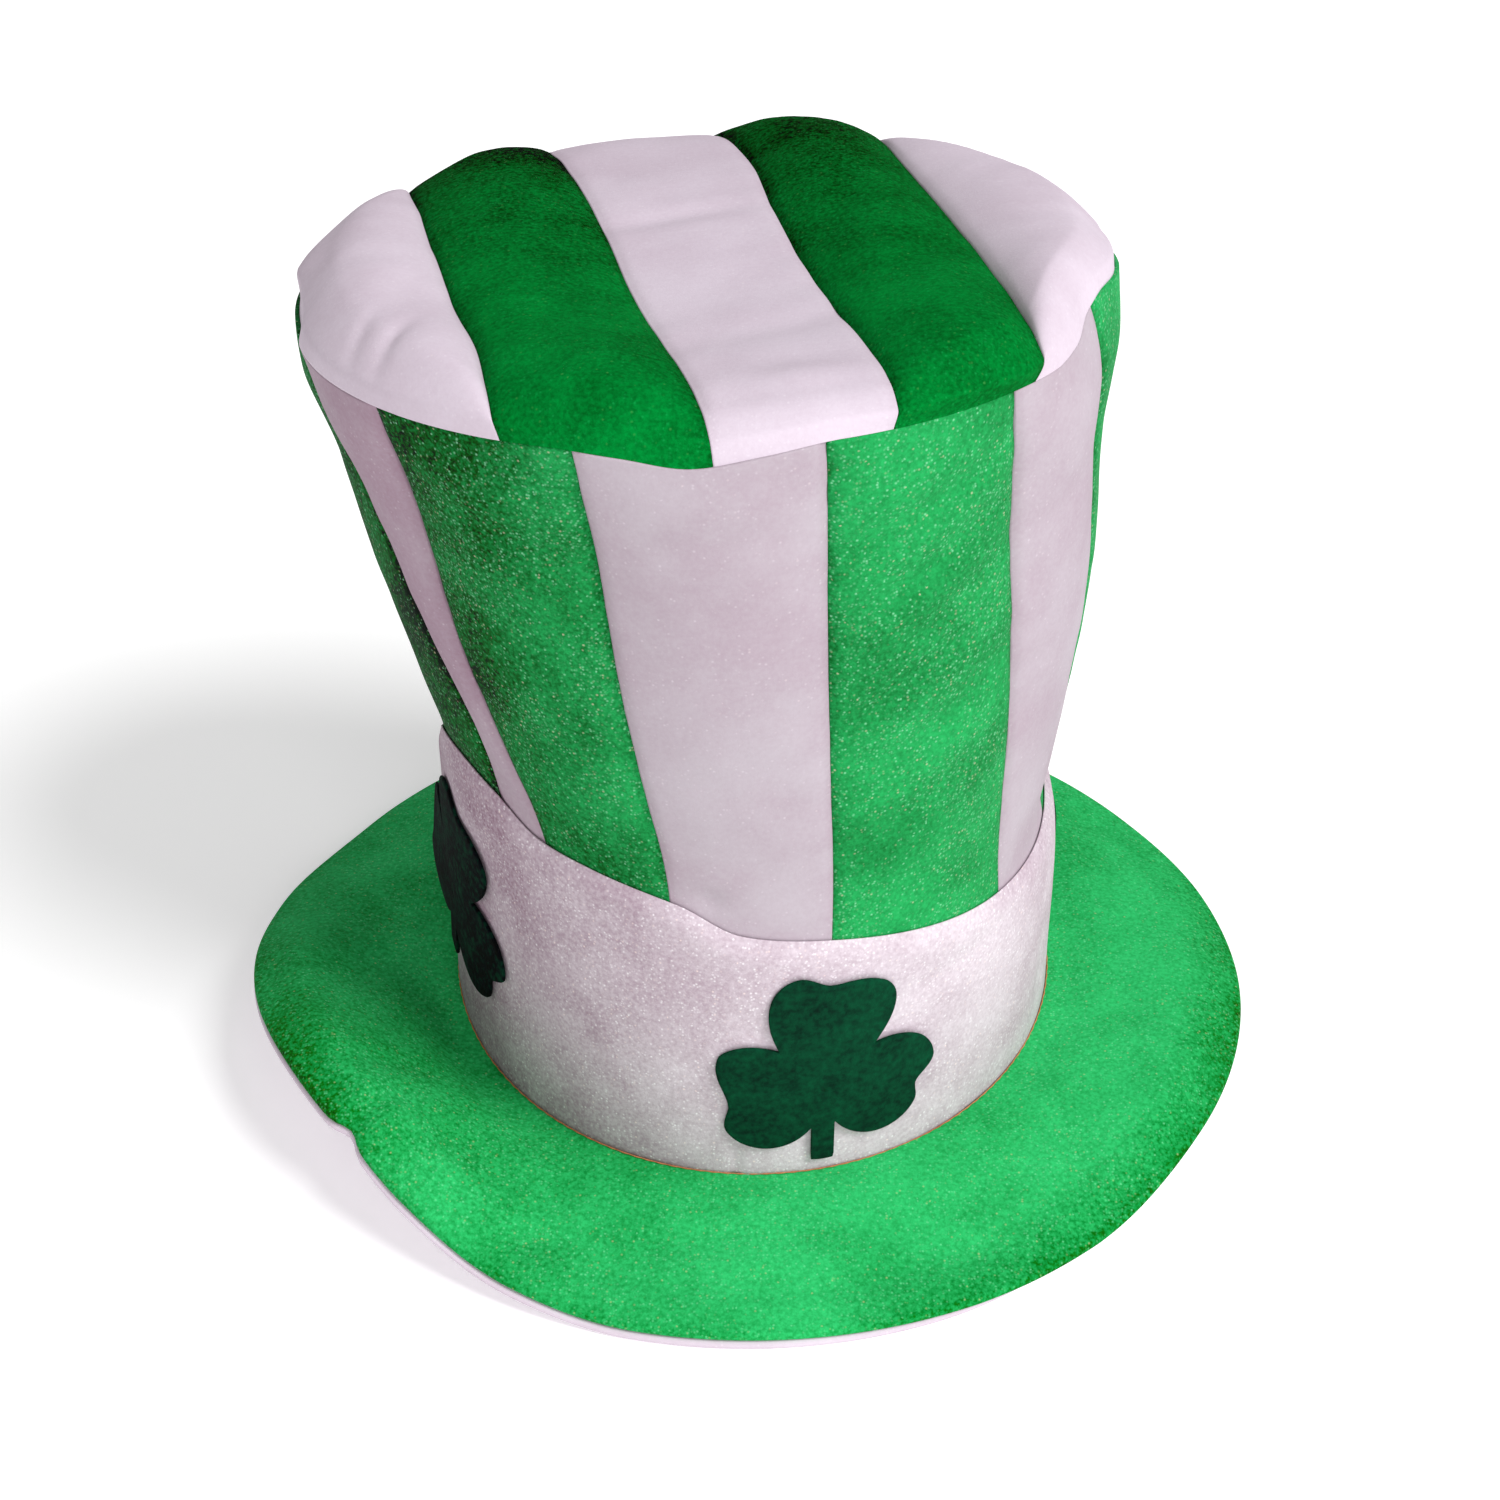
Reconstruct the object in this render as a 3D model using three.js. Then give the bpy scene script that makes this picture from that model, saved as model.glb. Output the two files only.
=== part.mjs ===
import * as THREE from 'three';

// A soft top hat for Saint Patrick's day, standing on its brim. Millimetres, +Z up,
// the front of the hat toward -Y. Angles are turns in degrees around the hat,
// 0 at the front and growing toward +X.

// Crown
const headWidth = 181;
const headLength = 203;
const crownShiftRight = 1;
const crownShiftBack = 6;
const crownHeight = 236;
const tipWidth = 219;
const tipLength = 211;
const leanLeft = 13;
const leanForward = 11.5;
const tipFallBack = 19;
const tipRiseRight = 8;
const panelWall = 2.5;
const panelPuff = 5;

// Flat top, sewn from five straight stripes that stop puffing at stripeFlatEdge from the
// round seam
const stripeWidth = 44.5;
const stripeTurn = 13.5;
const tipRise = 14.8;
const tipOverhang = 5.2;
const tipSag = 6;
const stripePuff = 5;
const stripeFlatEdge = 13;

// Hat band and its shamrocks
const bandHeight = 88;
const bandWall = 2.2;
const shamrockSize = 68.5;
const shamrockWall = 1.2;
const stemWidth = 7;

// Brim, two padded layers
const brimWidth = 309;
const brimLength = 304;
const brimSeatHeight = 14;
const brimLayer = 3.4;
const brimWave = 32;

// Clearance left between neighbouring pieces
const seamGap = 0.3;
const feltGap = 0.7;

// Crown form by height. up: share of crownHeight, flare: share of the way from the
// head size to the tip size, lean: share of the lean.
const crownForm = [
  { up: 0.0, flare: 0.0, lean: 0.0 },
  { up: 0.2, flare: 0.0, lean: 0.02 },
  { up: 0.4, flare: 0.05, lean: 0.0 },
  { up: 0.55, flare: 0.33, lean: 0.14 },
  { up: 0.7, flare: 0.62, lean: 0.38 },
  { up: 0.85, flare: 0.79, lean: 0.62 },
  { up: 0.95, flare: 0.98, lean: 0.86 },
  { up: 1.0, flare: 1.0, lean: 1.0 },
];

// The twelve side panels in turn, each with the seam on its left. foot and head: degrees
// where that seam starts at the brim and ends at the tip, bend: degrees that it swings
// aside on the way, puff: share of panelPuff.
const panels = [
  { name: 'panel_back_left', foot: -165, head: -166, bend: 0, puff: 0.8 },
  { name: 'panel_left_rear', foot: -130, head: -136, bend: 0, puff: 0.8 },
  { name: 'panel_left', foot: -88, head: -105, bend: 0, puff: 0.3 },
  { name: 'panel_left_front', foot: -34, head: -74, bend: 7, puff: 0.6 },
  { name: 'panel_front_left', foot: -28, head: -47, bend: -4, puff: 0.9 },
  { name: 'panel_front', foot: -12, head: -17, bend: -2, puff: 0.7 },
  { name: 'panel_front_right', foot: 13, head: 16, bend: -1.3, puff: 0.7 },
  { name: 'panel_right_front', foot: 54, head: 44.5, bend: -1, puff: 0.8 },
  { name: 'panel_right', foot: 82, head: 71, bend: 0, puff: 0.3 },
  { name: 'panel_right_rear', foot: 110, head: 101, bend: 0, puff: 0.8 },
  { name: 'panel_back_right', foot: 138, head: 132, bend: 0, puff: 0.8 },
  { name: 'panel_back', foot: 166, head: 163, bend: 0, puff: 0.8 },
];

// Hollow that sags into the tip. side, back: its middle and reach: its half width, as
// shares of the tip radius.
const tipHollow = { side: -0.1, back: -0.28, reach: 0.55 };

// How a seam swings aside by height, share of its bend.
const seamSwing = [
  { up: 0.0, bend: 0.0 },
  { up: 0.4, bend: 0.35 },
  { up: 0.6, bend: 1.0 },
  { up: 0.75, bend: 0.95 },
  { up: 0.9, bend: 0.5 },
  { up: 1.0, bend: 0.0 },
];

// How a panel puffs out by height between the band and the tip, share of panelPuff.
const panelPuffForm = [
  { up: 0.0, puff: 0.0 },
  { up: 0.15, puff: 0.25 },
  { up: 0.5, puff: 0.6 },
  { up: 0.85, puff: 1.0 },
  { up: 1.0, puff: 0.0 },
];

// Top edge of the band by turn, share of bandHeight, which is its height at the front.
const bandEdge = [
  { turn: -180, high: 1.0 },
  { turn: -130, high: 0.94 },
  { turn: -92, high: 0.98 },
  { turn: -80, high: 1.12 },
  { turn: -70, high: 1.24 },
  { turn: -60, high: 1.29 },
  { turn: -50, high: 1.27 },
  { turn: -40, high: 1.19 },
  { turn: -28, high: 1.17 },
  { turn: -13, high: 1.12 },
  { turn: 0, high: 1.0 },
  { turn: 15, high: 0.96 },
  { turn: 50, high: 0.875 },
  { turn: 90, high: 0.77 },
  { turn: 112, high: 0.86 },
  { turn: 140, high: 0.97 },
];

// The five stripes of the tip from left to right. right: its right seam in stripe widths
// from the middle of the tip, where it has one, puff: share of stripePuff.
const stripes = [
  { name: 'tip_left', right: -1.5, puff: 1.0 },
  { name: 'tip_mid_left', right: -0.5, puff: 1.1 },
  { name: 'tip_middle', right: 0.5, puff: 0.1 },
  { name: 'tip_mid_right', right: 1.48, puff: 1.25 },
  { name: 'tip_right', puff: 1.25 },
];

// Tip profile from the middle out to its seam. out: share of the tip radius, rise:
// share of tipRise, hang: share of tipOverhang.
const tipForm = [
  { out: 0.0, rise: 1.0, hang: 0.0 },
  { out: 0.45, rise: 0.96, hang: 0.0 },
  { out: 0.75, rise: 0.86, hang: 0.3 },
  { out: 0.9, rise: 0.66, hang: 0.9 },
  { out: 0.97, rise: 0.36, hang: 1.0 },
  { out: 1.0, rise: 0.0, hang: 0.0 },
];

// Brim profile from the crown to the rim. out: share of the brim width, drop: share of
// the way from the seat to the rim, thick: share of brimLayer.
const brimForm = [
  { out: 0.0, drop: 0.0, thick: 1.0 },
  { out: 0.14, drop: 0.0, thick: 1.0 },
  { out: 0.38, drop: 0.3, thick: 1.08 },
  { out: 0.6, drop: 0.68, thick: 1.08 },
  { out: 0.82, drop: 1.0, thick: 1.0 },
  { out: 1.0, drop: 1.0, thick: 0.7 },
];

// Height of the rim over the floor by turn, share of brimWave.
const rimRise = [
  { turn: -180, rise: 0.0 },
  { turn: -150, rise: 0.0 },
  { turn: -122, rise: 0.0 },
  { turn: -100, rise: 0.3 },
  { turn: -80, rise: 0.73 },
  { turn: -60, rise: 1.0 },
  { turn: -50, rise: 0.92 },
  { turn: -40, rise: 0.56 },
  { turn: -26, rise: 0.14 },
  { turn: -12, rise: 0.0 },
  { turn: 6, rise: 0.0 },
  { turn: 24, rise: 0.0 },
  { turn: 42, rise: 0.14 },
  { turn: 60, rise: 0.35 },
  { turn: 80, rise: 0.32 },
  { turn: 100, rise: 0.15 },
  { turn: 124, rise: 0.0 },
  { turn: 150, rise: 0.0 },
];

// Each leaf has two lobes between its notch and its roots, clockwise from straight up.
// notch, peak, root: headings in degrees, and the reach of each as a share of
// shamrockSize. full: higher where the lobe stays wide until close to its root.
const lobes = [
  { notch: 3, peak: 22, root: 48, notchReach: 0.55, peakReach: 0.58, rootReach: 0.29, full: 3.2 },
  { notch: 102, peak: 87, root: 48, notchReach: 0.44, peakReach: 0.52, rootReach: 0.29, full: 1.9 },
  { notch: 102, peak: 114, root: 165, notchReach: 0.44, peakReach: 0.47, rootReach: 0.18, full: 1.7 },
  { notch: 263, peak: 246, root: 196, notchReach: 0.42, peakReach: 0.47, rootReach: 0.2, full: 1.7 },
  { notch: 263, peak: 294, root: 320, notchReach: 0.42, peakReach: 0.5, rootReach: 0.3, full: 1.5 },
  { notch: 363, peak: 348, root: 320, notchReach: 0.55, peakReach: 0.61, rootReach: 0.3, full: 2.1 },
];
const stemTurn = 181;
const stemSpread = 40;
const stemReach = 0.38;

// The four shamrocks around the band. turn and lift say where the leaves meet, lift as a
// share of bandHeight over the seat.
const shamrocks = [
  { name: 'shamrock_front', turn: 12.4, lift: 0.375 },
  { name: 'shamrock_right', turn: 112, lift: 0.37 },
  { name: 'shamrock_back', turn: 193, lift: 0.45 },
  { name: 'shamrock_left', turn: -68.5, lift: 0.51 },
];

// Below 1 a puff is fuller than a half wave, and meets its seams in a sharper crease.
const puffRoundness = 0.75;

// Facets
const panelSteps = 6;
const bandSteps = 3;
const crownSteps = 7;
const tipCrowding = 0.35;
const stripeSteps = 6;
const brimSteps = 64;
const shamrockSpokes = 48;
const shamrockRings = [0, 0.36, 0.7, 1];

const velvetGreen = new THREE.MeshStandardMaterial({ color: 0x1f9d55, roughness: 0.85, metalness: 0 });
const tipGreen = new THREE.MeshStandardMaterial({ color: 0x067a35, roughness: 0.85, metalness: 0 });
const velvetWhite = new THREE.MeshStandardMaterial({ color: 0xdacfdb, roughness: 0.85, metalness: 0 });
const bandWhite = new THREE.MeshStandardMaterial({ color: 0xc9bdc7, roughness: 0.8, metalness: 0 });
const feltGreen = new THREE.MeshStandardMaterial({ color: 0x08412a, roughness: 0.95, metalness: 0 });

const headRadius = (headWidth + headLength) / 4;
const tipRadius = (tipWidth + tipLength) / 4;

const radians = (degrees) => (degrees * Math.PI) / 180;
const degreesOf = (angle) => (angle * 180) / Math.PI;
const clamp01 = (value) => Math.min(1, Math.max(0, value));
const mix = (from, to, share) => from + (to - from) * share;

// Smooth curve through a table that never swings past its own rows.
function curveThrough(xs, ys, x) {
  const last = xs.length - 1;
  let i = 0;
  while (i < last - 1 && x > xs[i + 1]) i += 1;
  const slope = (k) => (ys[k + 1] - ys[k]) / (xs[k + 1] - xs[k]);
  const tangent = (k) => {
    if (k === 0) return slope(0);
    if (k === last) return slope(last - 1);
    const before = slope(k - 1);
    const after = slope(k);
    return before * after <= 0 ? 0 : (2 * before * after) / (before + after);
  };
  const width = xs[i + 1] - xs[i];
  const t = clamp01((x - xs[i]) / width);
  const t2 = t * t;
  const t3 = t2 * t;
  return (2 * t3 - 3 * t2 + 1) * ys[i] + (t3 - 2 * t2 + t) * width * tangent(i)
    + (3 * t2 - 2 * t3) * ys[i + 1] + (t3 - t2) * width * tangent(i + 1);
}

function along(table, key, column, x) {
  return curveThrough(table.map((row) => row[key]), table.map((row) => row[column]), x);
}

function around(table, column, turn) {
  const wrapped = ((((turn + 180) % 360) + 360) % 360) - 180;
  const rows = [];
  for (const lap of [-360, 0, 360]) {
    for (const row of table) rows.push({ turn: row.turn + lap, value: row[column] });
  }
  return along(rows, 'turn', 'value', wrapped);
}

// A point of the crown at a turn and a share of its height, out millimetres proud.
function crownPoint(turn, up, out) {
  const flare = along(crownForm, 'up', 'flare', up);
  const lean = along(crownForm, 'up', 'lean', up);
  const halfWidth = mix(headWidth, tipWidth, flare) / 2 + out;
  const halfLength = mix(headLength, tipLength, flare) / 2 + out;
  const side = Math.sin(radians(turn));
  const front = Math.cos(radians(turn));
  const slant = (tipRiseRight * side + tipFallBack * front) / 2;
  return new THREE.Vector3(
    crownShiftRight - leanLeft * lean + halfWidth * side,
    crownShiftBack - leanForward * lean - halfLength * front,
    brimSeatHeight + seamGap + crownHeight * up + slant * up * up,
  );
}

const bandEdgeUp = (turn) => (bandHeight * around(bandEdge, 'high', turn)) / crownHeight;

// Height shares of a crown column: bandSteps even steps up to the band edge, then
// crownSteps that crowd toward the tip, where the panel curves most.
function columnUps(turn) {
  const edge = bandEdgeUp(turn);
  const ups = [];
  for (let j = 0; j < bandSteps; j += 1) ups.push((edge * j) / bandSteps);
  for (let j = 0; j <= crownSteps; j += 1) {
    const share = j / crownSteps;
    ups.push(mix(edge, 1, share * (1 + tipCrowding * (1 - share))));
  }
  return ups;
}

function panelProud(index, turn, up, share) {
  const edge = bandEdgeUp(turn);
  const height = clamp01((up - edge) / (1 - edge));
  const across = Math.pow(Math.sin(Math.PI * share), puffRoundness);
  return panelPuff * panels[index].puff * along(panelPuffForm, 'up', 'puff', height) * (across - 0.5);
}

function seamTurn(index, up) {
  const seam = panels[index % panels.length];
  const swing = seam.bend * along(seamSwing, 'up', 'bend', up);
  return mix(seam.foot, seam.head, up) + swing + 360 * Math.floor(index / panels.length);
}

// Grid of crown points for one panel: columns across it, rows up it.
function panelGrid(index, inset) {
  const columns = [];
  for (let i = 0; i <= panelSteps; i += 1) {
    const share = i / panelSteps;
    const footTurn = mix(seamTurn(index, 0), seamTurn(index + 1, 0), share);
    const column = columnUps(footTurn).map((up) => {
      const turn = mix(seamTurn(index, up), seamTurn(index + 1, up), share);
      const trim = degreesOf(seamGap / 2 / headRadius) * (i === 0 ? 1 : i === panelSteps ? -1 : 0);
      return crownPoint(turn + trim, up, panelProud(index, footTurn, up, share) - inset);
    });
    columns.push(column);
  }
  return columns;
}

// Closed solid between an outer and an inner grid of points. A grid that laps meets
// itself; points that fall together are welded and their flat triangles left out.
function shell(outer, inner, laps) {
  const points = [];
  const indexOf = new Map();
  const place = (point) => {
    const key = [point.x, point.y, point.z].map((value) => Math.round(value * 1e5)).join();
    if (!indexOf.has(key)) {
      indexOf.set(key, points.length / 3);
      points.push(point.x, point.y, point.z);
    }
    return indexOf.get(key);
  };
  const outside = outer.map((column) => column.map(place));
  const inside = inner.map((column) => column.map(place));
  const faces = [];
  const triangle = (a, b, c) => {
    if (a !== b && b !== c && c !== a) faces.push(a, b, c);
  };
  const quad = (a, b, c, d) => {
    triangle(a, b, c);
    triangle(a, c, d);
  };
  const columns = outer.length;
  const rows = outer[0].length;
  const spans = laps ? columns : columns - 1;
  for (let i = 0; i < spans; i += 1) {
    const n = (i + 1) % columns;
    for (let j = 0; j < rows - 1; j += 1) {
      quad(outside[i][j], outside[n][j], outside[n][j + 1], outside[i][j + 1]);
      quad(inside[i][j], inside[i][j + 1], inside[n][j + 1], inside[n][j]);
    }
    quad(outside[i][0], inside[i][0], inside[n][0], outside[n][0]);
    quad(outside[i][rows - 1], outside[n][rows - 1], inside[n][rows - 1], inside[i][rows - 1]);
  }
  if (!laps) {
    const end = columns - 1;
    for (let j = 0; j < rows - 1; j += 1) {
      quad(outside[0][j], outside[0][j + 1], inside[0][j + 1], inside[0][j]);
      quad(outside[end][j], inside[end][j], inside[end][j + 1], outside[end][j + 1]);
    }
  }
  return solid(points, faces);
}

function solid(points, faces) {
  const geometry = new THREE.BufferGeometry();
  geometry.setAttribute('position', new THREE.Float32BufferAttribute(points, 3));
  geometry.setIndex(faces);
  geometry.computeVertexNormals();
  return geometry;
}

function piece(name, geometry, material) {
  const mesh = new THREE.Mesh(geometry, material);
  mesh.name = name;
  return mesh;
}

function sidePanel(index) {
  return shell(panelGrid(index, 0), panelGrid(index, panelWall), false);
}

// The band shares its facets with the panels behind it, so the clearance is even.
function hatBand() {
  const columnsAt = (out) => {
    const columns = [];
    for (let index = 0; index < panels.length; index += 1) {
      for (let i = 0; i < panelSteps; i += 1) {
        const share = i / panelSteps;
        const footTurn = mix(seamTurn(index, 0), seamTurn(index + 1, 0), share);
        const ups = columnUps(footTurn).slice(0, bandSteps + 1);
        columns.push(ups.map((up) => {
          const turn = mix(seamTurn(index, up), seamTurn(index + 1, up), share);
          return crownPoint(turn, up, out);
        }));
      }
    }
    return columns;
  };
  return shell(columnsAt(seamGap + bandWall), columnsAt(seamGap), true);
}

// A point of the tip. side and back are shares of the tip radius in the turned frame
// of the stripes, puff the millimetres that the stripe puffs up there.
function tipPoint(side, back, puff, inset) {
  const share = clamp01(Math.hypot(side, back));
  const turn = degreesOf(Math.atan2(side, -back)) + stripeTurn;
  const seam = crownPoint(turn, 1, 0);
  const middle = crownPoint(0, 1, 0).add(crownPoint(180, 1, 0)).multiplyScalar(0.5);
  const hang = tipOverhang * along(tipForm, 'out', 'hang', share);
  const rise = tipRise * along(tipForm, 'out', 'rise', share);
  const away = clamp01(((1 - share) * tipRadius) / stripeFlatEdge);
  const aside = Math.hypot(side - tipHollow.side, back - tipHollow.back) / tipHollow.reach;
  const sag = tipSag * Math.exp(-aside * aside) * away;
  const reach = share + (hang - inset * share * share) / tipRadius;
  const outward = seam.clone().sub(middle).multiplyScalar(reach);
  const point = middle.clone().add(outward);
  point.z += seamGap + rise + puff * away - sag - inset * (1 - Math.pow(share, 4));
  return point;
}

// Places along a stripe, shares of its half length, closer together at its ends.
const stripePlaces = [-1, -0.97, -0.89, -0.7, -0.4, 0, 0.4, 0.7, 0.89, 0.97, 1];

// One stripe between two straight seams. The two outer stripes end on the round seam.
function tipStripe(index) {
  const seamAfter = (stripe) => (stripes[stripe].right * stripeWidth) / tipRadius;
  const last = stripes.length - 1;
  const trim = seamGap / 2 / tipRadius;
  const gridAt = (inset) => {
    const columns = [];
    for (let i = 0; i <= stripeSteps; i += 1) {
      const across = i / stripeSteps;
      const puff = stripePuff * stripes[index].puff * Math.pow(Math.sin(Math.PI * across), puffRoundness);
      columns.push(stripePlaces.map((place) => {
        if (index > 0 && index < last) {
          const side = mix(seamAfter(index - 1) + trim, seamAfter(index) - trim, across);
          const back = place * Math.sqrt(1 - side * side);
          return tipPoint(side, back, puff, inset);
        }
        const cut = index === 0 ? seamAfter(0) - trim : seamAfter(last - 1) + trim;
        const back = place * Math.sqrt(1 - cut * cut);
        const round = Math.sign(cut) * Math.sqrt(1 - back * back);
        const side = index === 0 ? mix(round, cut, across) : mix(cut, round, across);
        return tipPoint(side, back, puff, inset);
      }));
    }
    return columns;
  };
  return shell(gridAt(0), gridAt(panelWall), false);
}

// A point of the brim: out is the share of the way from the head opening to the rim,
// layers and gaps count the layers and the clearances that lie under the point.
function brimPoint(turn, out, layers, gaps) {
  const opening = crownPoint(turn, 0, -panelWall);
  const rim = new THREE.Vector3(Math.sin(radians(turn)), -Math.cos(radians(turn)), 0);
  rim.set((rim.x * brimWidth) / 2, (rim.y * brimLength) / 2, 0);
  const seatUnder = brimSeatHeight - 2 * brimLayer - seamGap;
  const rise = brimWave * around(rimRise, 'rise', turn);
  const under = mix(seatUnder, rise, along(brimForm, 'out', 'drop', out));
  const layer = brimLayer * along(brimForm, 'out', 'thick', out);
  const point = new THREE.Vector3(mix(opening.x, rim.x, out), mix(opening.y, rim.y, out), 0);
  point.z = under + layer * layers + seamGap * gaps;
  return point;
}

function brimLayerSolid(level) {
  const gridAt = (layers) => {
    const columns = [];
    for (let i = 0; i < brimSteps; i += 1) {
      const turn = (360 * i) / brimSteps;
      columns.push(brimForm.map((row) => brimPoint(turn, row.out, layers, level)));
    }
    return columns;
  };
  return shell(gridAt(level), gridAt(level + 1), true);
}

const turnBetween = (a, b) => Math.abs(((((a - b + 180) % 360) + 360) % 360) - 180);

// Reach of one lobe at a heading: a soft rise from the notch to the peak, and a fall to
// the root that gets steeper on the way.
function lobeReach(lobe, heading) {
  const past = (heading - lobe.peak) / (lobe.root - lobe.peak);
  if (past >= 0) return mix(lobe.peakReach, lobe.rootReach, Math.pow(past, lobe.full));
  const before = (heading - lobe.peak) / (lobe.notch - lobe.peak);
  return mix(lobe.peakReach, lobe.notchReach, (1 - Math.cos(Math.PI * before)) / 2);
}

// Reach of the shamrock outline from where the leaves meet, at a heading clockwise from
// straight up.
function shamrockReach(heading) {
  const stemHalf = stemWidth / 2;
  const stemLength = stemReach * shamrockSize;
  let reach = stemHalf;
  for (const lobe of lobes) {
    for (const lap of [heading, heading + 360]) {
      const onLobe = (lap - lobe.notch) * (lap - lobe.root) <= 0;
      if (onLobe) reach = Math.max(reach, shamrockSize * lobeReach(lobe, lap));
    }
  }
  const aside = turnBetween(heading, stemTurn);
  const sine = Math.max(Math.sin(radians(aside)), stemHalf / stemLength);
  if (aside < stemSpread) reach = Math.max(reach, stemHalf / sine);
  return reach;
}

// Felt shamrock lying on the curve of the band, in rings of points around its middle.
function shamrock(turn, lift) {
  const radius = headRadius + seamGap + bandWall;
  const gridAt = (out) => {
    const columns = [];
    for (let spoke = 0; spoke < shamrockSpokes; spoke += 1) {
      const heading = (360 * spoke) / shamrockSpokes;
      columns.push(shamrockRings.map((ring) => {
        const reach = ring * shamrockReach(heading);
        const place = turn + degreesOf((reach * Math.sin(radians(heading))) / radius);
        const up = (lift * bandHeight + reach * Math.cos(radians(heading))) / crownHeight;
        return crownPoint(place, up, seamGap + bandWall + feltGap + out);
      }));
    }
    return columns;
  };
  return shell(gridAt(shamrockWall), gridAt(0), true);
}

const hat = new THREE.Group();
hat.name = 'leprechaun_hat';
panels.forEach(({ name }, index) => {
  hat.add(piece(name, sidePanel(index), index % 2 === 0 ? velvetGreen : velvetWhite));
});
stripes.forEach(({ name }, index) => {
  hat.add(piece(name, tipStripe(index), index % 2 === 0 ? velvetWhite : tipGreen));
});
hat.add(piece('band', hatBand(), bandWhite));
hat.add(piece('brim_top', brimLayerSolid(1), velvetGreen));
hat.add(piece('brim_underside', brimLayerSolid(0), velvetWhite));
shamrocks.forEach(({ name, turn, lift }) => {
  hat.add(piece(name, shamrock(turn, lift), feltGreen));
});

export default hat;
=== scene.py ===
# %% [markdown]
# # A soft striped top hat
# A party hat of foam-backed velvet: a crown of twelve panels that flares toward a padded striped tip,
# a glitter band with felt shamrocks, and a round padded brim that stands on the floor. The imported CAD
# model gives every piece its size and place. This lesson gives the same pieces their puffs, seams,
# folds, velvet and felt. It works in metres, with the front of the hat toward -Y and +Z up.

# %% Frame
import math

import bpy
import numpy as np
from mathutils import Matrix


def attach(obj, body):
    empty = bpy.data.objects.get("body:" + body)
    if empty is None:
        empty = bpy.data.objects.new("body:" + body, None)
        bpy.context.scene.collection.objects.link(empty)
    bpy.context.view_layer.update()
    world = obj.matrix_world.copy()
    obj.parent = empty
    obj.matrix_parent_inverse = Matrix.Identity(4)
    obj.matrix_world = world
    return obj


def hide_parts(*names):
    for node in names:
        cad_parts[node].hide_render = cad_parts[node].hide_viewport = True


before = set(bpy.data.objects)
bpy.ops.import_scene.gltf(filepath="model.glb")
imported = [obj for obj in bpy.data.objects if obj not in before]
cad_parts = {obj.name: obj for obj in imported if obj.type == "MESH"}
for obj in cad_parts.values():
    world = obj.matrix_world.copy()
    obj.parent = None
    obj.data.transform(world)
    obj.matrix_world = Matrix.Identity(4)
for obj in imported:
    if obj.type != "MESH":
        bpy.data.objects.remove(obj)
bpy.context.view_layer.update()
mm = 0.001
print("CAD nodes:", len(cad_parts))

# %% [markdown]
# ## Reading a form from short tables
# A soft hat has no straight lines, but few of its curves need more than a handful of measured places.
# A table holds those places as shares of one size, and a smooth curve fills in between. The curve
# never swings past its own rows, so a wall that stays flat between two rows stays flat.


# %% Tables and smooth curves
def table(columns, *rows):
    return dict(zip(columns.split(), np.array(rows, float).T))


def curve_through(xs, ys, x):
    slopes = np.diff(ys) / np.diff(xs)
    before, after = slopes[:-1], slopes[1:]
    same_way = before * after > 0
    bends = np.where(same_way, 2 * before * after / np.where(same_way, before + after, 1), 0)
    tangents = np.concatenate([slopes[:1], bends, slopes[-1:]])
    i = np.clip(np.searchsorted(xs, x) - 1, 0, len(xs) - 2)
    width = xs[i + 1] - xs[i]
    t = np.clip((x - xs[i]) / width, 0, 1)
    rise = (3 - 2 * t) * t * t
    lead = t * (1 - t) ** 2 * width * tangents[i]
    trail = t * t * (t - 1) * width * tangents[i + 1]
    return ys[i] * (1 - rise) + ys[i + 1] * rise + lead + trail


def along(rows, key, column, x):
    return curve_through(rows[key], rows[column], np.asarray(x, float))


def around(rows, column, turn):
    laps = np.concatenate([rows["turn"] - 360, rows["turn"], rows["turn"] + 360])
    wrapped = (np.asarray(turn, float) + 180) % 360 - 180
    return curve_through(laps, np.tile(rows[column], 3), wrapped)


def mix(start, end, share):
    return start + (end - start) * share


# %% [markdown]
# ## The crown
# The head opening is an oval, and the tip is wider and nearly round, so the crown flares. It also
# leans to its left, and its top slants down toward the back. `crown_point` turns a heading around the
# hat and a share of the height into a place, with a distance that the cloth stands proud of it.

# %% Crown form
head_width, head_length = 181 * mm, 203 * mm
crown_shift = (1 * mm, 6 * mm)
crown_height = 236 * mm
tip_width, tip_length = 219 * mm, 211 * mm
lean_left, lean_forward = 13 * mm, 11.5 * mm
tip_fall_back, tip_rise_right = 19 * mm, 8 * mm
panel_wall = 2.5 * mm
panel_puff = 5 * mm
brim_seat = 14 * mm
seam_gap = 0.3 * mm
puff_roundness = 0.75
head_radius = (head_width + head_length) / 4
tip_radius = (tip_width + tip_length) / 4

crown_form = table("up flare lean",
                   (0.0, 0.0, 0.0), (0.2, 0.0, 0.02), (0.4, 0.05, 0.0), (0.55, 0.33, 0.14),
                   (0.7, 0.62, 0.38), (0.85, 0.79, 0.62), (0.95, 0.98, 0.86), (1.0, 1.0, 1.0))
dents = [  # turn, up, how far around in degrees, how far up as a share, depth
    (88, 0.33, 26, 0.07, 4.0 * mm), (88, 0.82, 22, 0.13, 2.4 * mm)]


def pressed_in(turn, up):
    """How far the crown is pressed in at its right, just over the band and under the tip."""
    depth = 0
    for at, height, spread_turn, spread_up, deep in dents:
        aside = (np.asarray(turn) - at + 180) % 360 - 180
        depth = depth + deep * np.exp(-(aside / spread_turn) ** 2 - ((up - height) / spread_up) ** 2)
    return depth


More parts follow.
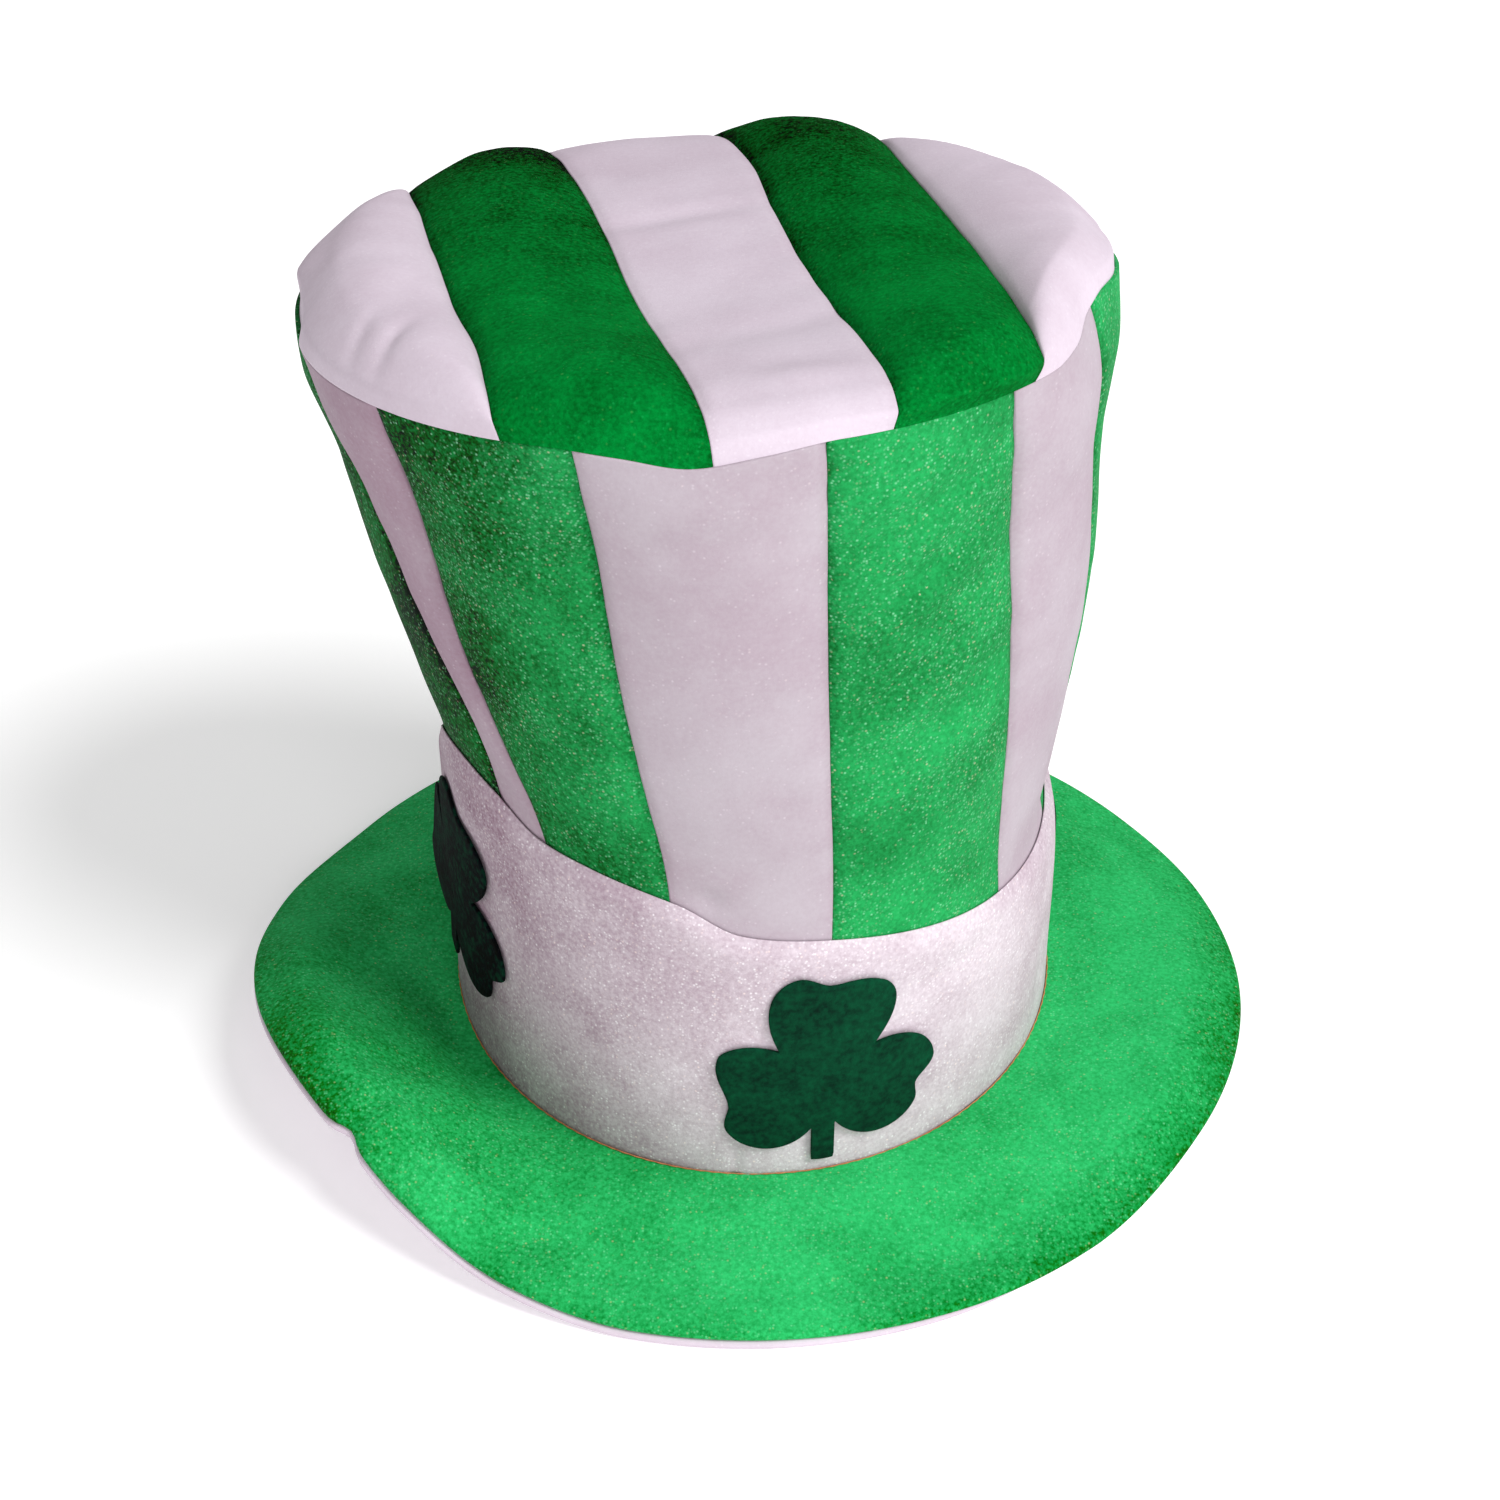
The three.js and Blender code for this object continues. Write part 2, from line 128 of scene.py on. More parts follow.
def crown_point(turn, up, out):
    flare = along(crown_form, "up", "flare", up)
    lean = along(crown_form, "up", "lean", up)
    side, front = np.sin(np.radians(turn)), np.cos(np.radians(turn))
    proud = out - pressed_in(turn, up)
    half_width = mix(head_width, tip_width, flare) / 2 + proud
    half_length = mix(head_length, tip_length, flare) / 2 + proud
    slant = (tip_rise_right * side + tip_fall_back * front) / 2
    x = crown_shift[0] - lean_left * lean + half_width * side
    y = crown_shift[1] - lean_forward * lean - half_length * front
    z = brim_seat + seam_gap + crown_height * up + slant * up * up
    return np.stack(np.broadcast_arrays(x, y, z), -1)


print("Crown front, foot and top:", crown_point(0, 0, 0).round(4), crown_point(0, 1, 0).round(4))

# %% [markdown]
# ## Uneven cloth
# Real cloth is never quite even. `lumps` is a smooth random height, from -1 to 1, whose lumps are
# about one size across. Its lattice of numbers comes from a seed, so each run gives the same hat.
# `fold` is one crease or ridge: a line with a middle, a heading, a reach and a width.


# %% Lumps and folds
def lumps(points, size, seed):
    side = 24
    lattice = np.random.default_rng(seed).uniform(-1, 1, (side, side, side))
    place = np.asarray(points) / size + side
    corner = np.floor(place).astype(int)
    share = place - corner
    share = share * share * (3 - 2 * share)
    total = 0
    for dx in (0, 1):
        for dy in (0, 1):
            for dz in (0, 1):
                at = (corner + (dx, dy, dz)) % side
                weight = np.abs(np.array((1 - dx, 1 - dy, 1 - dz)) - share).prod(-1)
                total = total + weight * lattice[at[..., 0], at[..., 1], at[..., 2]]
    return total


def fold(x, y, middle, heading, reach, width, height):
    angle = math.radians(heading)
    dx, dy = x - middle[0], y - middle[1]
    lengthwise = dx * math.cos(angle) + dy * math.sin(angle)
    across = dy * math.cos(angle) - dx * math.sin(angle)
    return height * np.exp(-(lengthwise / reach) ** 2 - (across / width) ** 2)


# %% [markdown]
# ## From grids to meshes
# Each piece of cloth is worked out as a grid of points. `shell_mesh` closes an outer and an inner grid
# into a wall, and `ring_mesh` closes a grid that runs round the hat and round its own section. Each
# vertex keeps how much painted shade its cloth gets, which the velvet and the felt use in seams and
# wherever a piece is painted darker.


# %% Mesh builders
def make_mesh(name, points, faces, looks, materials, shaded):
    mesh = bpy.data.meshes.new(name)
    mesh.from_pydata(points.tolist(), [], faces.tolist())
    for material in materials:
        mesh.materials.append(material)
    mesh.polygons.foreach_set("material_index", looks.astype(np.int32))
    mesh.polygons.foreach_set("use_smooth", np.ones(len(faces), bool))
    attribute = mesh.attributes.new("shaded", "FLOAT", "POINT")
    attribute.data.foreach_set("value", shaded.astype(np.float32))
    piece = bpy.data.objects.new(name, mesh)
    bpy.context.scene.collection.objects.link(piece)
    return piece


def quads(index, columns, rows):
    i, j = np.meshgrid(columns, rows, indexing="ij")
    n, m = (i + 1) % index.shape[0], (j + 1) % index.shape[1]
    return np.stack([index[i, j], index[n, j], index[n, m], index[i, m]], -1).reshape(-1, 4)


def shell_mesh(name, outer, inner, materials, shaded):
    columns, rows = outer.shape[:2]
    outside = np.arange(columns * rows).reshape(columns, rows)
    inside = outside + columns * rows
    skin = quads(outside, range(columns - 1), range(rows - 1))
    lining = quads(inside, range(columns - 1), range(rows - 1))[:, ::-1]
    loop = np.concatenate([outside[:, 0], outside[-1, 1:], outside[-2::-1, -1], outside[0, -2:0:-1]])
    back = np.concatenate([inside[:, 0], inside[-1, 1:], inside[-2::-1, -1], inside[0, -2:0:-1]])
    edge = np.stack([loop, back, np.roll(back, -1), np.roll(loop, -1)], -1)
    faces = np.concatenate([skin, edge, lining])
    looks = np.repeat([0, 0, 1], [len(skin), len(edge), len(lining)])
    points = np.concatenate([outer.reshape(-1, 3), inner.reshape(-1, 3)])
    return make_mesh(name, points, faces, looks, materials, np.tile(shaded.reshape(-1), 2))


def ring_mesh(name, grid, materials, shaded):
    turns, rows = grid.shape[:2]
    faces = quads(np.arange(turns * rows).reshape(turns, rows), range(turns), range(rows))
    looks = np.zeros(len(faces))
    return make_mesh(name, grid.reshape(-1, 3), faces, looks, materials, shaded.reshape(-1))


def finish_piece(piece, node):
    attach(piece, "root")
    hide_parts(node)
    return piece


# %% [markdown]
# ## Colours
# Colours are written as a screen shows them and turned into the linear values that a shader uses.


# %% Colour helper
def colour(red, green, blue):
    def linear(value):
        share = value / 255
        return share / 12.92 if share <= 0.04045 else ((share + 0.055) / 1.055) ** 2.4

    return (linear(red), linear(green), linear(blue), 1)


# %% [markdown]
# ## Shader node groups
# Velvet shows three things that a flat colour can't: patches where the pile lies another way, tiny
# bright glitter flakes, and the fine relief of the pile itself. Each is a node group with named
# inputs, so that all velvets share it and differ only in their numbers.


# %% Node group helpers
def new_group(name, inputs, outputs):
    group = bpy.data.node_groups.new(name, "ShaderNodeTree")
    for label, kind, default in inputs:
        socket = group.interface.new_socket(label, in_out="INPUT", socket_type=kind)
        if default is not None:
            socket.default_value = default
    for label, kind in outputs:
        group.interface.new_socket(label, in_out="OUTPUT", socket_type=kind)
    start = group.nodes.new("NodeGroupInput")
    end = group.nodes.new("NodeGroupOutput")
    return group, start, end


def add_node(tree, kind, settings=(), inputs=()):
    node = tree.nodes.new(kind)
    for name, value in dict(settings).items():
        setattr(node, name, value)
    for name, value in dict(inputs).items():
        if isinstance(value, bpy.types.NodeSocket):
            tree.links.new(value, node.inputs[name])
        else:
            node.inputs[name].default_value = value
    return node


def add_mix(tree, factor, first, second, blend="MIX"):
    node = add_node(tree, "ShaderNodeMix", {"data_type": "RGBA", "blend_type": blend})
    for socket, value in zip((node.inputs[0], node.inputs[6], node.inputs[7]), (factor, first, second)):
        if isinstance(value, bpy.types.NodeSocket):
            tree.links.new(value, socket)
        else:
            socket.default_value = value
    return node.outputs[2]


def noise(tree, place, scale, detail=2.0, roughness=0.5):
    return add_node(tree, "ShaderNodeTexNoise", inputs={
        "Vector": place, "Scale": scale, "Detail": detail, "Roughness": roughness}).outputs["Fac"]


def spread(tree, value, low, high):
    node = add_node(tree, "ShaderNodeMapRange", {"interpolation_type": "SMOOTHSTEP"}, {
        "Value": value, "From Min": low, "From Max": high})
    return node.outputs["Result"]


def maths(tree, operation, first, second):
    return add_node(tree, "ShaderNodeMath", {"operation": operation}, {0: first, 1: second}).outputs[0]


# %% [markdown]
# ### Nap
# The pile of a velvet leans, and where it is brushed the other way it shows darker or lighter. Two
# soft noises pick the patches: broad ones from handling, and grains of a millimetre or two. `Shaded`
# is painted shade: it darkens seams, the left of the hat, the back of the tip and parts of the brim's
# rim, and the grains stand out more there. The mix isn't clamped, so a deep shade can go past the shade
# colour, and a bright one past the main colour.

# %% Nap group
nap, nap_in, nap_out = new_group(
    "Velvet nap",
    [("Place", "NodeSocketVector", None), ("Colour", "NodeSocketColor", None),
     ("Shade", "NodeSocketColor", None), ("Broad", "NodeSocketFloat", 26.0),
     ("Fine", "NodeSocketFloat", 800.0), ("Grain", "NodeSocketFloat", 0.7),
     ("Shaded", "NodeSocketFloat", 0.0)],
    [("Colour", "NodeSocketColor")])
broad_patches = spread(nap, noise(nap, nap_in.outputs["Place"], nap_in.outputs["Broad"], 4, 0.62), 0.3, 0.7)
fine_patches = spread(nap, noise(nap, nap_in.outputs["Place"], nap_in.outputs["Fine"], 3, 0.6), 0.25, 0.75)
broad_part = maths(nap, "MULTIPLY", broad_patches, 0.45)
shade_here = maths(nap, "MINIMUM", nap_in.outputs["Shaded"], 0.3)
stronger = maths(nap, "ADD", maths(nap, "MULTIPLY", shade_here, 1.0), 1.0)
grain_here = maths(nap, "MULTIPLY", nap_in.outputs["Grain"], stronger)
fine_part = maths(nap, "MULTIPLY", maths(nap, "SUBTRACT", fine_patches, 0.5), grain_here)
lit_share = maths(nap, "ADD", maths(nap, "ADD", broad_part, fine_part), 0.28)
open_share = maths(nap, "SUBTRACT", lit_share, nap_in.outputs["Shaded"])
nap_colour = add_mix(nap, open_share, nap_in.outputs["Shade"], nap_in.outputs["Colour"])
nap_colour.node.clamp_factor = False
nap.links.new(nap_colour, nap_out.inputs["Colour"])

# %% [markdown]
# ### Glitter
# The yarn holds bright foil flakes. Each cell of a Voronoi pattern is one place where a flake may lie,
# and its random number decides whether it does, and whether it glints cold or warm. The bright colour
# of each flake is partly the foil and partly a painted glint. The flakes lie closer in some places than
# in others, which a soft noise decides.

# %% Glitter group
glitter, glitter_in, glitter_out = new_group(
    "Glitter",
    [("Place", "NodeSocketVector", None), ("Colour", "NodeSocketColor", None),
     ("Flake", "NodeSocketColor", None), ("Warm flake", "NodeSocketColor", None),
     ("Cells", "NodeSocketFloat", 1200.0), ("Amount", "NodeSocketFloat", 0.3),
     ("Strength", "NodeSocketFloat", 0.5), ("Patches", "NodeSocketFloat", 34.0)],
    [("Colour", "NodeSocketColor"), ("Mask", "NodeSocketFloat")])
cells = add_node(glitter, "ShaderNodeTexVoronoi", inputs={
    "Vector": glitter_in.outputs["Place"], "Scale": glitter_in.outputs["Cells"]})
cell_numbers = add_node(glitter, "ShaderNodeSeparateColor", inputs={"Color": cells.outputs["Color"]})
patch_noise = noise(glitter, glitter_in.outputs["Place"], glitter_in.outputs["Patches"])
density = add_node(glitter, "ShaderNodeMapRange", inputs={
    "Value": patch_noise, "From Min": 0.35, "From Max": 0.65, "To Min": 0.3, "To Max": 1.0}).outputs[0]
amount_here = maths(glitter, "MULTIPLY", density, glitter_in.outputs["Amount"])
flake_limit = maths(glitter, "SUBTRACT", 1.0, amount_here)
is_flake = maths(glitter, "GREATER_THAN", cell_numbers.outputs["Red"], flake_limit)
near_middle = spread(glitter, cells.outputs["Distance"], 0.65, 0.0)
few_bright = maths(glitter, "POWER", cell_numbers.outputs["Green"], 2.0)
size_here = maths(glitter, "MULTIPLY", few_bright, near_middle)
brightness = maths(glitter, "MULTIPLY", size_here, glitter_in.outputs["Strength"])
flake_mask = maths(glitter, "MULTIPLY", is_flake, brightness)
is_warm = maths(glitter, "GREATER_THAN", cell_numbers.outputs["Blue"], 0.85)
flake_colour = add_mix(glitter, is_warm, glitter_in.outputs["Flake"], glitter_in.outputs["Warm flake"])
# Painted glint: each flake's bright colour is mixed into the base colour.
glitter_colour = add_mix(glitter, flake_mask, glitter_in.outputs["Colour"], flake_colour)
glitter.links.new(glitter_colour, glitter_out.inputs["Colour"])
glitter.links.new(flake_mask, glitter_out.inputs["Mask"])

# %% [markdown]
# ### Pile
# The tips of the pile make a fine, uneven relief, and so do the tangled fibres of felt.

# %% Pile group
pile, pile_in, pile_out = new_group(
    "Pile relief",
    [("Place", "NodeSocketVector", None), ("Fine", "NodeSocketFloat", 1600.0),
     ("Height", "NodeSocketFloat", 0.0004), ("Strength", "NodeSocketFloat", 0.5)],
    [("Normal", "NodeSocketVector")])
tufts = noise(pile, pile_in.outputs["Place"], pile_in.outputs["Fine"], 3, 0.65)
relief = add_node(pile, "ShaderNodeBump", inputs={
    "Height": tufts, "Distance": pile_in.outputs["Height"], "Strength": pile_in.outputs["Strength"]})
pile.links.new(relief.outputs["Normal"], pile_out.inputs["Normal"])
print("Node groups:", [group.name for group in bpy.data.node_groups])

# %% [markdown]
# ## Velvets
# One function makes every velvet. Sheen gives the soft light rim that a pile shows where it turns
# away, and the flakes are smoother than the pile, so they catch the lights. The greens of the sides and
# of the tip are darker copies of the brim's green, and the white of the sides is a darker copy of the
# tip's white: painted shade for how the light falls on those parts.


# %% Velvet materials
def new_material(name):
    material = bpy.data.materials.new(name)
    material.use_nodes = True
    tree = material.node_tree
    shader = tree.nodes["Principled BSDF"]
    place = add_node(tree, "ShaderNodeTexCoord").outputs["Object"]
    return material, tree, shader, place


def velvet(name, main, shade, flake, warm, amount, strength, grain, relief, sheen, shine):
    material, tree, shader, place = new_material(name)
    shaded = add_node(tree, "ShaderNodeAttribute", {"attribute_name": "shaded"}).outputs["Fac"]
    patches = add_node(tree, "ShaderNodeGroup", {"node_tree": nap}, {
        "Place": place, "Colour": main, "Shade": shade, "Grain": grain, "Shaded": shaded})
    flakes = add_node(tree, "ShaderNodeGroup", {"node_tree": glitter}, {
        "Place": place, "Colour": patches.outputs["Colour"], "Flake": flake, "Warm flake": warm,
        "Amount": amount, "Strength": strength})
    tufted = add_node(tree, "ShaderNodeGroup", {"node_tree": pile}, {"Place": place, "Strength": relief})
    roughness = add_node(tree, "ShaderNodeMapRange", inputs={
        "Value": flakes.outputs["Mask"], "To Min": 0.95, "To Max": 0.4})
    tree.links.new(flakes.outputs["Colour"], shader.inputs["Base Color"])
    tree.links.new(roughness.outputs["Result"], shader.inputs["Roughness"])
    tree.links.new(tufted.outputs["Normal"], shader.inputs["Normal"])
    shader.inputs["Specular IOR Level"].default_value = shine
    shader.inputs["Sheen Weight"].default_value = sheen
    shader.inputs["Sheen Roughness"].default_value = 0.45
    shader.inputs["Sheen Tint"].default_value = flake
    return material


green_pile = velvet(
    "green_pile", main=colour(50, 200, 112), shade=colour(8, 138, 58), flake=colour(135, 235, 175),
    warm=colour(205, 205, 150), amount=0.85, strength=0.45, grain=0.6, relief=0.4, sheen=0.05, shine=0.1)
# Darker copies for the sides and the tip: painted shade.
side_green_shaded_pile = velvet(
    "side_green_shaded_pile", main=colour(38, 174, 93), shade=colour(5, 99, 38), flake=colour(165, 240, 195),
    warm=colour(235, 215, 190), amount=1.0, strength=0.5, grain=0.45, relief=0.5, sheen=0.05, shine=0.1)
tip_green_shaded_pile = velvet(
    "tip_green_shaded_pile", main=colour(0, 138, 54), shade=colour(0, 74, 18), flake=colour(30, 170, 90),
    warm=colour(90, 170, 90), amount=0.7, strength=0.35, grain=0.5, relief=0.4, sheen=0, shine=0.02)
white_pile = velvet(
    "white_pile", main=colour(217, 205, 217), shade=colour(200, 184, 197), flake=colour(246, 240, 246),
    warm=colour(244, 232, 230), amount=0.3, strength=0.25, grain=0.25, relief=0.2, sheen=0.04, shine=0.1)
side_white_shaded_pile = velvet(
    "side_white_shaded_pile", main=colour(188, 179, 187), shade=colour(166, 147, 159), flake=colour(246, 240, 246),
    warm=colour(248, 234, 232), amount=0.2, strength=0.25, grain=0.2, relief=0.15, sheen=0.04, shine=0.1)
band_pile = velvet(
    "band_pile", main=colour(222, 211, 219), shade=colour(166, 144, 157), flake=colour(255, 252, 255),
    warm=colour(255, 234, 226), amount=1.0, strength=0.65, grain=0.35, relief=0.35, sheen=0.05, shine=0.1)
print("Velvets:", [material.name for material in bpy.data.materials if material.name.endswith("_pile")])

# %% [markdown]
# ## Felt, foam and thread
# Craft felt is a mat of tangled fibres, dull and darker where it is pressed. The foam that backs the
# velvet is a fine off-white sponge, seen only from inside. The seam at the foot of the band shows an
# orange-brown thread.


# %% Felt, foam and thread materials
def plain_cloth(name, main, shade, fine, strength, roughness):
    material, tree, shader, place = new_material(name)
    shaded = add_node(tree, "ShaderNodeAttribute", {"attribute_name": "shaded"}).outputs["Fac"]
    patches = add_node(tree, "ShaderNodeGroup", {"node_tree": nap}, {
        "Place": place, "Colour": main, "Shade": shade, "Broad": 70.0, "Fine": fine, "Shaded": shaded})
    tufted = add_node(tree, "ShaderNodeGroup", {"node_tree": pile}, {
        "Place": place, "Fine": fine * 2.5, "Strength": strength})
    tree.links.new(patches.outputs["Colour"], shader.inputs["Base Color"])
    tree.links.new(tufted.outputs["Normal"], shader.inputs["Normal"])
    shader.inputs["Roughness"].default_value = roughness
    shader.inputs["Specular IOR Level"].default_value = 0.1
    return material


green_felt = plain_cloth("craft_felt", colour(2, 70, 43), colour(0, 32, 21), 500.0, 0.7, 0.95)
foam_backing = plain_cloth("foam_backing", colour(232, 229, 222), colour(212, 208, 200), 900.0, 0.5, 0.9)
seam_thread = plain_cloth("seam_thread", colour(206, 140, 100), colour(160, 98, 62), 2000.0, 0.4, 0.8)

# %% [markdown]
# ## Side panels
# Twelve gores, green and white in turn, are sewn edge to edge. Foam makes each puff out between its
# seams, most near the tip, and the sewn edges turn in. Grid columns crowd toward the seams, so the
# turn of the cloth has enough faces. Small puckers cross each seam, where the thread gathers it. The
# cloth on the left of the hat is painted darker, as painted shade on the side away from the light. A
# cloth simulation could puff the gores too, but their sewn edges have to stay on their seam lines, so
# the puffs are worked out in code.

# %% Side panel form
panels = [  # name, turn of its left seam at the foot and at the tip, that seam's bend, share of puff
    ("panel_back_left", -165, -166, 0, 0.8), ("panel_left_rear", -130, -136, 0, 0.8),
    ("panel_left", -88, -105, 0, 0.3), ("panel_left_front", -34, -74, 7, 0.6),
    ("panel_front_left", -28, -47, -5, 0.9), ("panel_front", -12, -16, -2, 0.7),
    ("panel_front_right", 13, 16, -1.3, 0.7), ("panel_right_front", 54, 44.5, -1, 0.8),
    ("panel_right", 82, 71, 0, 0.3), ("panel_right_rear", 110, 101, 0, 0.8),
    ("panel_back_right", 138, 132, 0, 0.8), ("panel_back", 166, 163, 0, 0.8)]
seam_swing = table("up bend", (0, 0), (0.4, 0.35), (0.6, 1), (0.75, 0.95), (0.9, 0.5), (1, 0))
panel_puff_form = table("up puff", (0, 0), (0.15, 0.25), (0.5, 0.6), (0.85, 1), (1, 0))
band_height = 88 * mm
band_edge = table("turn high",
                  (-180, 1), (-130, 0.94), (-92, 0.98), (-80, 1.12), (-70, 1.24), (-60, 1.28), (-50, 1.25),
                  (-40, 1.16), (-28, 1.13), (-13, 1.075), (-2, 0.975), (15, 0.93), (50, 0.82), (90, 0.76),
                  (112, 0.86), (140, 0.97))
seam_clear, seam_sink, seam_round = 0.05 * mm, 0.7 * mm, 1.8 * mm
# Painted shade along every seam.
seam_shade = 0.22
pucker_height, pucker_length, pucker_reach = 0.35 * mm, 7 * mm, 9 * mm
panel_columns, panel_rows, seam_crowd = 37, 121, 0.6
corner_from, roll_from = 0.86, 0.93
# Painted shade on the left of the hat, by turn; the band takes a share of it.
left_painted_shade = table("turn amount", (-180, 0.1), (-140, 0.3), (-100, 0.6), (-60, 0.7), (-40, 0.6), (-24, 0.25),
                   (-10, 0), (90, 0), (140, 0.05))
band_left_share = 0.75
panel_folds = [  # panel, place across and up as shares, heading, reach, width, height
    ("panel_front_right", 0.55, 0.91, 24, 26, 4.5, -1.7), ("panel_front_right", 0.45, 0.83, 30, 26, 4, -1.6),
    ("panel_front_right", 0.6, 0.77, 32, 24, 4, -1.5), ("panel_front_right", 0.4, 0.7, 34, 22, 4, -1.4),
    ("panel_front_right", 0.55, 0.63, 32, 20, 4, -1.0), ("panel_front_right", 0.5, 0.53, 28, 18, 4, -0.7),
    ("panel_front_left", 0.6, 0.88, -20, 22, 5, -0.8), ("panel_front", 0.25, 0.41, 0, 4, 3, -1.1),
    ("panel_front", 0.5, 0.9, 4, 26, 6, -0.6), ("panel_right_front", 0.5, 0.84, 16, 18, 5, -0.5)]
rim_form = table("turn hang inward raise outward",
                 (-180, 0.9, 0, 0, 0), (-120, 0.9, 0, 0, 0), (-96, 0.7, 0, 0, 0), (-88, 0.3, 0.4, 0.2, 0.25),
                 (-79, 0.2, 0.5, 0.2, 0.3), (-72, 0.2, 0.1, 0, 0), (-60, 0.35, 0, 0, 0), (-20, 0.4, 0, 0, 0),
                 (-10, 0.3, 0, -0.3, 0), (-1, 0.3, 0, -0.8, 0), (8, 0.3, 0, -0.4, 0), (18, 0.4, 0, 0, 0),
                 (30, 0.9, 0, 0, 0), (45, 1.1, 0, 0, 0), (52, 0.4, 0, 0, 0), (60, 0.1, 0.3, 0.2, 0),
                 (69, 0, 0.9, 0.8, 0), (75, 0.1, 0.8, 1, 0.1), (84, 0.3, 0.3, 0.8, 0.15),
                 (92, 0.4, 0.1, 0.4, 0.3), (99, 0.4, 0, 0.1, 0.35), (104, 0.6, 0, 0, 0.1),
                 (130, 0.9, 0, 0, 0))
rim_inward, rim_raise, rim_outward = 5 * mm, 5.5 * mm, 4.5 * mm
print("Gores:", len(panels), "with", len(panel_folds), "folds")

# %% [markdown]
# ### Seams and the rim
# Every seam runs from a turn at the foot to a turn at the tip, and may swing aside between them. At the
# right and at the left rear the seam around the tip is tucked in and up. Neighbours share these
# functions, so their edges always meet.


# %% Seams and the rim
def band_edge_up(turn):
    return band_height * around(band_edge, "high", turn) / crown_height


def seam_turn(index, up):
    _, foot, head, bend, _ = panels[index % len(panels)]
    return mix(foot, head, up) + bend * along(seam_swing, "up", "bend", up) + 360 * (index // len(panels))


def rim_moved(points, turn, share):
    """Moves the seam around the tip in and up, where the tip is tucked in behind a side panel."""
    middle = (crown_point(0, 1, 0) + crown_point(180, 1, 0)) / 2
    inward = (middle - points) * (1, 1, 0)
    inward = inward / np.maximum(np.linalg.norm(inward, axis=-1), 1 * mm)[..., None]
    moved = points + inward * (rim_inward * around(rim_form, "inward", turn) * share)[..., None]
    moved[..., 2] += rim_raise * around(rim_form, "raise", turn) * share
    return moved


def crowd(count, amount):
    """Shares from 0 to 1 that lie closer together at both ends."""
    share = np.linspace(0, 1, count)
    return share - amount * np.sin(2 * np.pi * share) / (2 * np.pi)


# %% [markdown]
# ### The surface of a gore
# A gore is one grid across and up. How far each point stands proud of the crown is a sum: the puff
# between the seams, less the groove at each seam, and then puckers, unevenness and folds. Adding small
# terms keeps each of them easy to change.


# %% The surface of a gore
def panel_surface(index):
    name, *_, puff = panels[index]
    share = crowd(panel_columns, seam_crowd)[:, None]
    up = np.linspace(0, 1, panel_rows)[None, :]
    up = mix(up, 1 - (1 - up) ** 1.5, 0.6)
    clear = np.degrees(seam_clear / head_radius)
    turn = mix(seam_turn(index, up) + clear, seam_turn(index + 1, up) - clear, share)
    foot_turn = mix(seam_turn(index, 0), seam_turn(index + 1, 0), share)
    width = np.radians(seam_turn(index + 1, up) - seam_turn(index, up)) * head_radius
    edge = band_edge_up(foot_turn)
    free = np.clip((up - edge) / (1 - edge), 0, 1)
    across = np.sin(np.pi * share) ** puff_roundness
    proud = panel_puff * puff * along(panel_puff_form, "up", "puff", free) * (across - 0.5)
    from_seam = np.minimum(share, 1 - share) * width
    seam = np.exp(-(from_seam / seam_round) ** 2)
    proud = proud - seam_sink * seam * np.clip(free * 8, 0, 1)
    base = crown_point(turn, up, 0)
    puckers = lumps(np.stack([base[..., 2], share * 0 + index * 0.1 + 0 * up, share + 0 * up], -1)
                    / (pucker_length, 1, 1), 1, index)
    proud = proud + pucker_height * puckers * np.exp(-from_seam / pucker_reach) * free ** 0.5
    uneven = (0.5 * lumps(base, 34 * mm, 3) + 0.15 * lumps(base, 9 * mm, 4)) * mm
    proud = proud + uneven * np.clip(free * 6, 0, 1)
    near_corner = np.clip((up - corner_from) / (1 - corner_from), 0, 1) ** 2
    proud = proud + rim_outward * around(rim_form, "outward", turn) * near_corner
    x, y = share * width + 0 * up, up * crown_height + 0 * share
    for piece, at, high, heading, reach, wide, height in panel_folds:
        if piece == name:
            middle = (at * width, high * crown_height)
            proud = proud + fold(x, y, middle, heading, reach * mm, wide * mm, height * mm)
    # painted shade in each seam and on the left of the hat
    return turn, up, proud, seam * seam_shade + around(left_painted_shade, "amount", turn)


# %% [markdown]
# ### Sewing the crown
# The inner side of each gore follows its outer side at the thickness of the cloth. The skin is velvet,
# and the inner side has the look of its foam backing.


# %% Sewing the crown
def side_panel(index):
    name = panels[index][0]
    turn, up, proud, shaded = panel_surface(index)
    material, slot_name = ((side_green_shaded_pile, "green_velvet"), (side_white_shaded_pile, "white_velvet"))[index % 2]
    near_top = np.clip((up - roll_from) / (1 - roll_from), 0, 1) ** 2
    outer = rim_moved(crown_point(turn, up, proud), turn, near_top)
    flap = around(rim_form, "outward", turn) * near_top
    wall = panel_wall * (1 - 0.75 * np.minimum(flap * 2, 1))
    inner = rim_moved(crown_point(turn, up, proud - wall), turn, near_top)
    piece = shell_mesh(f"{name}_cloth", outer, inner, [material, foam_backing], shaded)
    return finish_piece(piece, name)


side_pieces = [side_panel(index) for index in range(len(panels))]
print("Side panels:", len(side_pieces), "with", len(side_pieces[0].data.polygons), "faces each")

# %% [markdown]
# ## The striped tip
# The flat top is sewn from five straight stripes and padded, so each stripe is a low cushion between
# two straight seams. At the round seam the padding rolls over and hangs a little past the sides.

